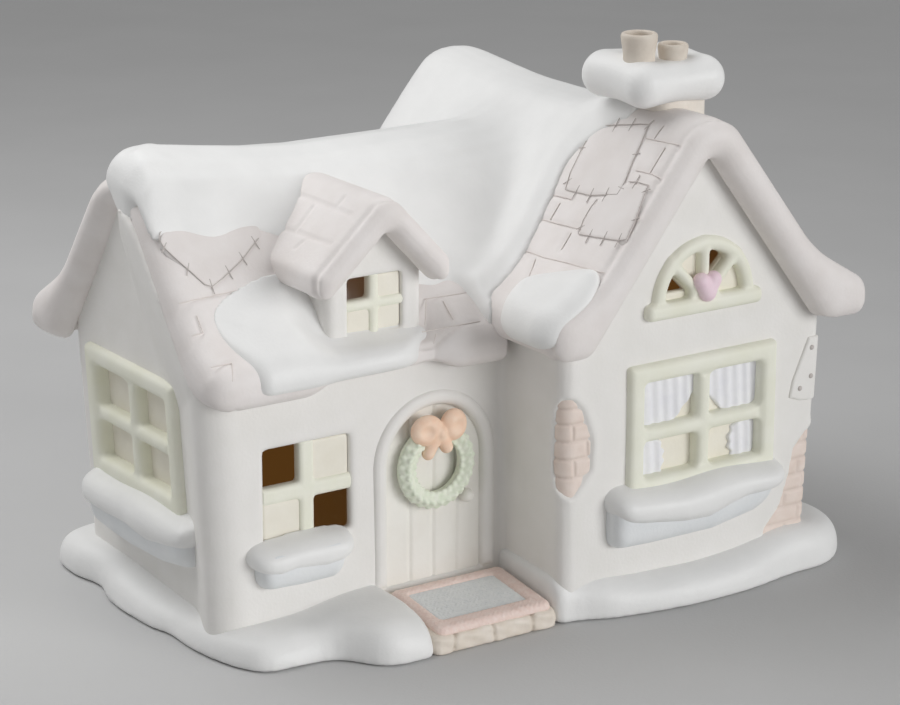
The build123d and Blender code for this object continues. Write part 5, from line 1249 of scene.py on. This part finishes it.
for name, wall, box, bars in (("side", left_wall, side_box, SIDE_BARS),
                              ("parlour", gable_wall, parlour_box, PARLOUR_BARS)):
    mould_node(name + "_window_frame", trim_bisque,
               lambda x, y, z: window_frame(*wall(x, y, z), *box, bars), cell=0.4, below=5, above=5)
    low, high = box_of(name + "_window_frame")
    mould(name + "_window_panes", [name + "_window_panes"], pane_bisque,
          lambda x, y, z: window_panes(*wall(x, y, z), *box), low - 5, high + 5, cell=0.6)

FOLD_WIDTH, FOLD_DEPTH, FOLD_SLANT = 3.4, 0.25, 0.12
DRAPE, CURTAIN_LAP, CURTAIN_BACK = 1.1, 0.5, 0.6
CURTAIN_HALF = 17.0        # width of one pane, to which both sides are brought
SWAG_DROP, SWAG_SLOPE, SWAG_LAP = 6.0, 1.1, 1.5
BUNCH_IN, BUNCH_UP, BUNCH_RADIUS = 16.0, 4.0, 7.5
RUFFLE_DEPTH, RUFFLE_PITCH = 0.4, 2.2


def curtains(x, y, z):
    along, up, out = gable_wall(x, y, z)
    opening = panel(along, up, *parlour_box, FRAME_WIDTH - CURTAIN_LAP)
    folds = FOLD_DEPTH * np.sin(2 * math.pi * along / FOLD_WIDTH + FOLD_SLANT * up)
    middle, level = PARLOUR_BARS
    inward = np.abs(along - middle) - BAR_WIDTH / 2
    outer = np.where(along < middle, middle - parlour_low[0], parlour_high[0] - middle)
    inward = inward * CURTAIN_HALF / (outer - FRAME_WIDTH - BAR_WIDTH / 2)
    above = up - level - BAR_WIDTH / 2
    upper = np.maximum(SWAG_DROP - SWAG_SLOPE * inward - above, -above - SWAG_LAP)
    bunch = span((inward - BUNCH_IN) / BUNCH_RADIUS,
                 (up - parlour_low[2] - FRAME_WIDTH - BUNCH_UP) / BUNCH_RADIUS) * BUNCH_RADIUS - BUNCH_RADIUS
    lower = np.maximum(bunch + RUFFLE_DEPTH * np.sin(up * RUFFLE_PITCH), above + BAR_WIDTH)
    cloth = soft_max(np.minimum(upper, lower), out - PANE_FACE - DRAPE - folds, blend=1)
    return shared(cloth, opening, PANE_FACE - CURTAIN_BACK - out)


mould("curtains", ["curtains"], curtain_bisque, curtains, parlour_low + (4, -1, 4),
      parlour_high + (-4, 4, -4), cell=0.3)

FRONT_BAR, DORMER_BAR = 4.6, 3.0
SASH_FACE, SASH_PANE_FACE, SASH_LAP = -0.3, -1.2, 0.3


def sash(low, high, bar):
    """Field of two crossed bars set in an opening of the front."""
    def field(x, y, z):
        along, up, out = front_wall(x, y, z)
        cross = soft_min(np.abs(along - (low[0] + high[0]) / 2) - bar / 2,
                         np.abs(up - (low[2] + high[2]) / 2) - bar / 2, blend=1.2)
        opening = panel(along, up, low[[0, 2]], high[[0, 2]], -SASH_LAP, rounding=1)
        return shared(soft_max(cross, out - SASH_FACE, blend=1.6), opening, -out - WALL_THICKNESS)
    return field


def sash_panes(low, high, quarters):
    """Field of the solid panes of a sash; the others are open."""
    def field(x, y, z):
        along, up, out = front_wall(x, y, z)
        middle = (low + high) / 2
        panes = np.float32(np.inf)
        for right, top in quarters:
            pane = slab((along, middle[0] if right else low[0], high[0] if right else middle[0]),
                        (up, middle[2] if top else low[2], high[2] if top else middle[2]), rounding=1)
            panes = np.minimum(panes, pane)
        return np.maximum(soft_max(panes, out - SASH_PANE_FACE, blend=1), -out - WALL_THICKNESS)
    return field


for name, low, high, bar, quarters in (
        ("front", front_low, front_high, FRONT_BAR, [(True, True), (False, False)]),
        ("dormer", dormer_pane_low, dormer_pane_high, DORMER_BAR,
         [(True, True), (False, False), (True, False)])):
    for node, material, field in ((name + "_sash", trim_bisque, sash(low, high, bar)),
                                  (name + "_panes", pane_bisque, sash_panes(low, high, quarters))):
        mould(node, [node], material, field, low - 2, high + 2, cell=0.35)

FAN_BAR, FAN_HUB, FAN_PROUD, FAN_BACK = 3.2, 5.2, 2.0, 3.0
FAN_SPOKES = (0.25, 0.5, 0.75)  # shares of the half turn
FAN_STEEPNESS, FAN_PANE_SET = 1.2, 1.0
SILL_LIP = 0.6
PIERCE_MARGIN = 0.5


def fan_frame(x, y, z):
    along, up, out = gable_wall(x, y, z)
    across, rise = along - fan_middle, up - fan_low[2] - FAN_SILL
    radius = span(across, rise)
    ring = FAN_RADIUS - FAN_RIM / 2
    bars = np.abs(radius - FAN_RADIUS + FAN_RIM / 2) - FAN_RIM / 2
    bars = soft_min(bars, radius - FAN_HUB, blend=1.5)
    for turn in FAN_SPOKES:
        spoke = [(0.0, 0.0), (math.cos(turn * math.pi) * ring, math.sin(turn * math.pi) * ring)]
        bars = soft_min(bars, line_gap(spoke, across, rise) - FAN_BAR / 2, blend=1.5)
    bars = soft_max(np.maximum(bars, -rise), out - FAN_PROUD, blend=2.4)
    sill = slab((along, fan_low[0], fan_high[0]), (up, fan_low[2], fan_low[2] + FAN_SILL + SILL_LIP),
                (out, -FAN_BACK, FAN_PROUD + SILL_LIP), rounding=1.8)
    return np.maximum(soft_min(bars, sill, blend=1), -out - FAN_BACK)


def fan_panes(x, y, z):
    along, up, out = gable_wall(x, y, z)
    across, rise = along - fan_middle, up - fan_low[2] - FAN_SILL
    radius = span(across, rise)
    half = np.maximum(radius - FAN_RADIUS + FAN_RIM / 2, -rise)
    lower_left = np.maximum(across + rise, -rise) / FAN_STEEPNESS
    upper_right = np.maximum(-across, across - rise) / FAN_STEEPNESS
    pierced = np.minimum(lower_left, upper_right) + FAN_BAR / 2 + PIERCE_MARGIN
    pierced = shared(pierced, half + PIERCE_MARGIN, FAN_HUB + PIERCE_MARGIN - radius)
    return soft_max(shared(half, out + FAN_PANE_SET, -out - WALL_THICKNESS), -pierced, blend=0.6)


for node, material, field, cell in (("fan_window_frame", trim_bisque, fan_frame, 0.35),
                                    ("fan_window_panes", pane_bisque, fan_panes, 0.4)):
    mould(node, [node], material, field, fan_low - 1, fan_high + 4, cell)

heart_low, heart_high = box_of("heart_ornament")
HEART_DROP = 1.6
HEART_FOOT, HEART_HEAD = 1.4, 2.1
HEART_HALF, HEART_RADIUS = 2.0, 2.3


def heart(x, y, z):
    along, up, out = gable_wall(x, y, z)
    middle = (heart_low[0] + heart_high[0]) / 2
    foot = (middle, heart_low[2] + HEART_FOOT - HEART_DROP, FAN_PROUD)
    lobes = [rod(along, up, out, foot, (middle + side, heart_high[2] - HEART_HEAD - HEART_DROP, FAN_PROUD),
                 HEART_RADIUS) for side in (-HEART_HALF, HEART_HALF)]
    return soft_min(*lobes, blend=0.8)


mould_node("heart_ornament", heart_bisque, heart, cell=0.25, below=3, above=2)

# Flower boxes and the snow on them: the height of the box's underside and of the snow's drooping front
# edge at places along each wall
FLOWER_BOXES = {
    "front": {
        "wall": front_wall, "reach": 6.2, "ends": (-81.6, -56.0), "top": 28.0,
        "places": [-85.0, -77.7, -68.6, -59.5, -53.5], "under": [18.6, 17.4, 17.0, 17.2, 18.6],
        "snow_reach": 7.6, "snow_ends": (-85.6, -51.4), "snow_wall": 30.6,
        "snow_places": [-86.4, -82.6, -76.7, -72.2, -63.0, -58.5, -52.0],
        "snow_edge": [24.2, 23.2, 22.2, 22.8, 21.6, 22.2, 24.0]},
    "side": {
        "wall": left_wall, "reach": 6.8, "ends": (-13.5, 40.5), "top": 28.0,
        "places": [-24.0, -15.0, 2.0, 19.0, 31.0, 40.0], "under": [22.4, 19.6, 16.4, 15.6, 16.2, 17.2],
        "snow_reach": 8.4, "snow_ends": (-17.5, 43.8), "snow_wall": 33.5,
        "snow_places": [-26.0, -18.0, -7.0, 4.0, 15.5, 27.0, 38.0, 43.0],
        "snow_edge": [28.8, 26.2, 23.8, 22.4, 23.2, 22.8, 23.4, 25.4]},
    "parlour": {
        "wall": gable_wall, "reach": 6.6, "ends": (10.4, 64.2), "top": 31.0,
        "places": [5.0, 9.5, 23.6, 44.0, 58.0, 64.0], "under": [20.2, 18.8, 18.2, 18.2, 20.8, 24.0],
        "snow_reach": 8.7, "snow_ends": (8.6, 70.0), "snow_wall": 35.6,
        "snow_places": [3.0, 9.0, 18.5, 32.0, 40.5, 47.4, 54.3, 61.0, 70.0],
        "snow_edge": [29.0, 28.0, 25.6, 23.8, 23.4, 25.2, 26.8, 27.0, 28.6]}}
BOX_FLARE = 0.14
BOX_BED = 1.0              # boxes and their snow reach this far into the wall
CROWN_SLOPE, CROWN_WAVE, CROWN_LENGTH = 0.3, 0.5, 6.0
BULGE, BULGE_LENGTH = 0.3, 4.5


def flower_box(box):
    """Field of a trough with a soft sagging belly."""
    def field(x, y, z):
        along, up, out = box["wall"](x, y, z)
        under = np.interp(along, box["places"], box["under"]) - up
        front = out - box["reach"] + BOX_FLARE * (box["top"] - up)
        belly = soft_max(soft_max(under, front, blend=5), between(along, box["ends"]), blend=4)
        return shared(belly, up - box["top"], -out - BOX_BED)
    return field


def box_snow(box):
    """Field of the pillow of snow on a box, whose front edge droops in waves."""
    def field(x, y, z):
        along, up, out = box["wall"](x, y, z)
        edge = np.interp(along, box["snow_places"], box["snow_edge"]) - up
        crown = up - box["snow_wall"] + CROWN_SLOPE * out - CROWN_WAVE * np.sin(along / CROWN_LENGTH)
        front = out - box["snow_reach"] - BULGE * np.sin(along / BULGE_LENGTH)
        pillow = soft_max(soft_max(edge, crown, blend=5), front, blend=5.5)
        return np.maximum(soft_max(pillow, between(along, box["snow_ends"]), blend=7), -out - BOX_BED)
    return field


for name, box in FLOWER_BOXES.items():
    mould_node(name + "_window_box", box_bisque, flower_box(box), cell=0.5, below=4, above=3)
    mould_node(name + "_box_snow", snow_bisque, box_snow(box), cell=0.5, below=8, above=8)

# Door
SURROUND_WIDTH, SURROUND_PROUD, SURROUND_BACK = 4.4, 1.1, 2.5
LEAF_FACE, LEAF_LAP = -1.2, 0.6
DOOR_GROOVES, DOOR_TOP = [-7.2, 0.2, 7.6], 70.0
DOOR_GROOVE_LEAN, DOOR_GROOVE_HALF, DOOR_GROOVE_DEPTH = 0.2, 0.9, 0.5


def door_surround(x, y, z):
    along, up, out = front_wall(x, y, z)
    arch = door_arch(along, up)
    band = np.maximum(soft_max(arch - SURROUND_WIDTH, -arch, blend=1.2), door_low[2] - up)
    return np.maximum(soft_max(band, out - SURROUND_PROUD, blend=2.4), -out - SURROUND_BACK)


def door_leaf(x, y, z):
    along, up, out = front_wall(x, y, z)
    lines = [[(door_middle + groove, 0.0), (door_middle + groove + DOOR_GROOVE_LEAN, DOOR_TOP)]
             for groove in DOOR_GROOVES]
    face = out - LEAF_FACE + scored(lines, along, up, DOOR_GROOVE_HALF, DOOR_GROOVE_DEPTH)
    return shared(door_arch(along, up) - LEAF_LAP, face, -out - WALL_THICKNESS)


mould_node("door_surround", wall_bisque, door_surround, cell=0.4, below=1, above=(1, 3, 1))
mould_node("door_leaf", door_bisque, door_leaf, cell=0.4, below=2, above=2)

WREATH_RING, WREATH_TUBE, WREATH_OUT, WREATH_BED = 9.5, 2.2, 1.0, 0.4
LEAVES_AROUND = 26
LEAF_ROWS = ((-1.5, 0.9, 0.9), (0.0, 1.9, -0.9), (1.4, 0.9, 0.9))  # ring, lift and sweep of each row
LEAF_HALF, LEAF_RADIUS, LEAF_SWEEP = 0.9, 0.7, 0.7
LEAF_SINK, LEAF_RISE = 0.2, 0.4
wreath_low, wreath_high = box_of("wreath")
wreath_middle = (wreath_low + wreath_high) / 2


def wreath(x, y, z):
    along, up, out = front_wall(x, y, z)
    across, rise = along - wreath_middle[0], up - wreath_middle[2]
    field = span(span(across, rise) - WREATH_RING, out - WREATH_OUT) - WREATH_TUBE
    for row, (ring, lift, sweep) in enumerate(LEAF_ROWS):
        for leaf in range(LEAVES_AROUND):
            turn = 2 * math.pi * (leaf + row / len(LEAF_ROWS)) / LEAVES_AROUND
            centre = ((WREATH_RING + ring) * math.cos(turn), (WREATH_RING + ring) * math.sin(turn))
            aim = turn + math.pi / 2 + sweep * LEAF_SWEEP
            reach = (LEAF_HALF * math.cos(aim), LEAF_HALF * math.sin(aim))
            start = (centre[0] - reach[0], centre[1] - reach[1], WREATH_OUT + lift - LEAF_SINK)
            end = (centre[0] + reach[0], centre[1] + reach[1], WREATH_OUT + lift + LEAF_RISE)
            field = soft_min(field, rod(across, rise, out, start, end, LEAF_RADIUS), blend=0.5)
    return np.maximum(field, LEAF_FACE - WREATH_BED - out)


mould_node("wreath", wreath_bisque, wreath, cell=0.32, below=1.5, above=1.5)

BOW_LOOPS = [((-30.4, 52.6), (4.9, 4.2)), ((-22.0, 52.9), (4.0, 4.4))]
LOOP_DEPTH = 2.4
HOLLOW_ASIDE, HOLLOW_OUT, HOLLOW_RADII = 0.9, 2.6, (2.0, 1.6, 1.3)
BOW_TAILS = [((-29.9, 46.0), 1.7), ((-24.1, 47.0), 1.8)]
TAIL_SINK = 0.2
BOW_KNOT, KNOT_LIFT, KNOT_RADII = (-26.6, 51.6), 0.6, (1.7, 2.0, 1.9)
BOW_OUT = 3.0


def bow(x, y, z):
    along, up, out = front_wall(x, y, z)
    field = pebble((along - BOW_KNOT[0], up - BOW_KNOT[1], out - BOW_OUT - KNOT_LIFT), KNOT_RADII)
    for (middle, radii), side in zip(BOW_LOOPS, (-1, 1)):
        loop = pebble((along - middle[0], up - middle[1], out - BOW_OUT), (*radii, LOOP_DEPTH))
        hollow = pebble((along - middle[0] - side * HOLLOW_ASIDE, up - middle[1], out - BOW_OUT - HOLLOW_OUT),
                        HOLLOW_RADII)
        field = soft_min(field, soft_max(loop, -hollow, blend=1.2), blend=0.5)
    for end, radius in BOW_TAILS:
        tail = rod(along, up, out, (*BOW_KNOT, BOW_OUT), (*end, BOW_OUT - TAIL_SINK), radius)
        field = soft_min(field, tail, blend=0.5)
    return field


mould_node("bow", bow_bisque, bow, cell=0.3, below=4, above=3)

knob_low, knob_high = box_of("door_knob")
KNOB_RADIUS, KNOB_NECK, NECK_RUN = 1.9, 1.0, 1.0


def door_knob(x, y, z):
    middle = (knob_low + knob_high) / 2
    ball = pebble((x - middle[0], y - knob_low[1] - KNOB_RADIUS, z - middle[2]), (KNOB_RADIUS,) * 3)
    neck = rod(x, y, z, (middle[0], knob_low[1] + NECK_RUN, middle[2]),
               (middle[0], knob_high[1] + NECK_RUN, middle[2]), KNOB_NECK)
    return soft_min(ball, neck, blend=0.8)


mould_node("door_knob", door_bisque, door_knob, cell=0.2, above=1.5)

# Step and mat
STEP_JOINTS = [
    [(-38.2, -62), (-37.6, -52.2)], [(-25.4, -62), (-26.0, -51.6)], [(-13.4, -62), (-12.6, -52.0)],
    [(-46, -51.4), (-36, -52.2), (-29, -51.1), (-19, -52.8), (-12, -51.4), (-3, -52.2)],
    [(-33, -52), (-32, -42)], [(-23.5, -52), (-24.6, -42)], [(-15.5, -52), (-15, -42)],
    [(-46, -42), (-32, -41.4), (-24, -42.2), (-15, -41.4), (-3, -42)]]
STEP_REAR, STEP_FRONT = 8.2, 4.8
STEP_JOINT_HALF, STEP_JOINT_DEPTH = 0.8, 0.55
STONE_SLANT, SLANT_LENGTH = 0.5, 4.2  # the joints on the front lean one way and the other
STEP_BACK = 3.0
PIT_DEPTH, PIT_LENGTHS = 0.22, (1.7, 1.1, 5.0)


def above_step(y, z):
    """Height above the step's sloping top."""
    share = (y - step_low[1]) / (step_high[1] - step_low[1])
    return z - STEP_FRONT - share * (STEP_REAR - STEP_FRONT)


def step_joints(x, y, z):
    slanted = x + STONE_SLANT * (z - STEP_FRONT / 2) * np.sin(x / SLANT_LENGTH)
    return scored(STEP_JOINTS, slanted, y, STEP_JOINT_HALF, STEP_JOINT_DEPTH)


def door_step(x, y, z):
    block = slab((x, step_low[0], step_high[0]), (y, step_low[1], step_high[1] + STEP_BACK), rounding=2)
    across, up, slant = PIT_LENGTHS
    joints = step_joints(x, y, z) + PIT_DEPTH * np.sin(x / across + z) * np.sin(z / up + x / slant)
    stones = soft_max(block + joints, above_step(y, z) + joints, blend=1.6)
    return soft_max(stones, step_low[2] - z, blend=0.5)


mould_node("door_step", step_bisque, door_step, cell=0.5, above=(0, 0, 1), marks={"joint": step_joints})

MAT_FORWARD = 3.0          # the mat reaches nearly to the edge of the step
mat_low, mat_high = box_of("doormat_border")
mat_field_low, mat_field_high = box_of("doormat_field")
mat_low[1] -= MAT_FORWARD
mat_high[0] += MAT_FORWARD / 3
mat_field_low[1] -= MAT_FORWARD / 2
MAT_THICKNESS, MAT_FIELD_THICKNESS = 1.9, 1.3
MAT_BED, MAT_LAP = 0.3, 0.3
PILE, PILE_PITCH = 0.12, 4.2


def mat_pile(x, y):
    """Small tufts of the mat's moulded pile."""
    return PILE * np.sin(x * PILE_PITCH) * np.sin(y * PILE_PITCH)


def mat_border(x, y, z):
    rim = soft_max(panel(x, y, mat_low, mat_high, 0, rounding=2.2),
                   -panel(x, y, mat_field_low, mat_field_high, 0, rounding=1), blend=0.8)
    height = above_step(y, z)
    return np.maximum(soft_max(rim, height - MAT_THICKNESS - mat_pile(x, y), blend=1.8), -height - MAT_BED)


def mat_field(x, y, z):
    sheet = panel(x, y, mat_field_low, mat_field_high, -MAT_LAP, rounding=1)
    height = above_step(y, z)
    return shared(sheet, height - MAT_FIELD_THICKNESS - mat_pile(x, y), -height - MAT_BED)


mould("doormat_border", ["doormat_border"], mat_border_bisque, mat_border, mat_low - 1, mat_high + 1,
      cell=0.3)
mould("doormat_field", ["doormat_field"], mat_field_bisque, mat_field, mat_field_low - 1, mat_field_high + 1,
      cell=0.35)

# Light unit: pieces that keep their CAD shape. Their grain is finer than can show and is drawn at about
# a third of a millimetre. Moulded ABS has a soft even gloss, spring steel and drawn brass are smooth and
# bright, nickel plating is brighter still, tungsten is dull and black glass shines.
FINE_GRAIN = {"grit": 0.3, "grit_depth": 0.01}
METAL = {"metallic": 1.0, "cloud": 2.0, **FINE_GRAIN}
holder_plastic = finish("moulded_abs_white", "holder_plastic", "#ECEBE6", "#E6E5DF", roughness=0.4,
                        grit=0.4, grit_depth=0.02)
clip_steel = finish("spring_steel_bright", "clip_steel", "#C3C4C6", "#B5B6B9", roughness=0.3, **METAL)
socket_brass = finish("drawn_brass", "socket_brass", "#D9BE7E", "#CBAE6C", roughness=0.3, **METAL)
bulb_metal = finish("nickel_plated_brass", "bulb_metal", "#CFCBC2", "#C2BDB3", roughness=0.25, **METAL)
bulb_insulator = finish("black_glass_insulator", "bulb_insulator", "#23211F", "#1B1918", roughness=0.2,
                        cloud=1.5, **FINE_GRAIN)
filament_wire = finish("tungsten_wire", "filament_wire", "#6F6C69", "#5F5C5A", roughness=0.4, metallic=1.0,
                       cloud=0.5, grit=0.2, grit_depth=0.01)
# Blown soda glass: clear, with the faint ripple of a blown envelope
bulb_glass = finish("blown_soda_glass", "bulb_glass", "#FBFBF8", "#F6F7F4", roughness=0.03, grit=4.0,
                    grit_depth=0.02)
connect(bulb_glass.node_tree, bulb_glass.node_tree.nodes["Principled BSDF"],
        {"Transmission Weight": 1.0, "IOR": 1.51})

KEPT_NODES = {
    "lampholder": holder_plastic, "holder_clips": clip_steel, "socket_shell": socket_brass,
    "socket_contact": socket_brass, "bulb_contact": bulb_metal, "bulb_shell": bulb_metal,
    "bulb_insulator": bulb_insulator, "bulb_stem": bulb_glass, "bulb_glass": bulb_glass,
    "bulb_filament": filament_wire}
for node, material in KEPT_NODES.items():
    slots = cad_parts[node].data.materials
    for place in range(len(slots)):
        slots[place] = material

# Camera at the photograph's angle
CAMERA_BACK = Vector((-0.53104, -0.79728, 0.28693))
CAMERA_PLACE = (-0.4419, -0.6633, 0.2992)


def aimed(name, data, place, back):
    """Puts a camera or a lamp at a place, with its back turned in a direction."""
    thing = bpy.data.objects.new(name, data)
    thing.location = place
    thing.rotation_mode = "QUATERNION"
    thing.rotation_quaternion = (-back).to_track_quat("-Z", "Y")
    bpy.context.scene.collection.objects.link(thing)
    return thing


camera_data = bpy.data.cameras.new("camera")
camera_data.lens = 120.0
camera_data.sensor_width = 36.0
camera_data.clip_end = 20.0
bpy.context.scene.camera = aimed("camera", camera_data, CAMERA_PLACE, CAMERA_BACK)

# Floor: a plain pale sheet
FLOOR_HALF = 3.0
floor_mesh = bpy.data.meshes.new("floor")
floor_mesh.from_pydata([(-FLOOR_HALF, -FLOOR_HALF, 0), (FLOOR_HALF, -FLOOR_HALF, 0),
                        (FLOOR_HALF, FLOOR_HALF, 0), (-FLOOR_HALF, FLOOR_HALF, 0)], [], [(0, 1, 2, 3)])
floor = bpy.data.objects.new("floor", floor_mesh)
bpy.context.scene.collection.objects.link(floor)
floor_mesh.materials.append(finish("matt_paper", "wall_bisque", "#C9C9C9", "#C6C6C6", roughness=0.9,
                                   cloud=60.0))
floor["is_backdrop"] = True

# Light: a large soft key from above and a little behind, a broad fill from the front right
LIT_POINT = Vector((0, 0, 0.06))


def add_lamp(data, power, toward, distance):
    """A soft light that shines on the house from a direction."""
    data.energy = power
    direction = Vector(toward).normalized()
    aimed(data.name, data, direction * distance + LIT_POINT, direction)


key_light = bpy.data.lights.new("key", "AREA")
key_light.size = 0.5
add_lamp(key_light, power=2.0, toward=(-0.22, 0.2, 0.47), distance=0.55)
fill_light = bpy.data.lights.new("fill", "SUN")
fill_light.angle = math.radians(40)
add_lamp(fill_light, power=2.15, toward=(0.4, -0.9, 0.1), distance=1.2)
world = bpy.data.worlds.new("studio")
bpy.context.scene.world = world
world.use_nodes = True
connect(world.node_tree, world.node_tree.nodes["Background"], {"Color": linear("#FFFFFF"), "Strength": 0.29})

bpy.context.scene.view_settings.view_transform = "Standard"

low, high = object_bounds()
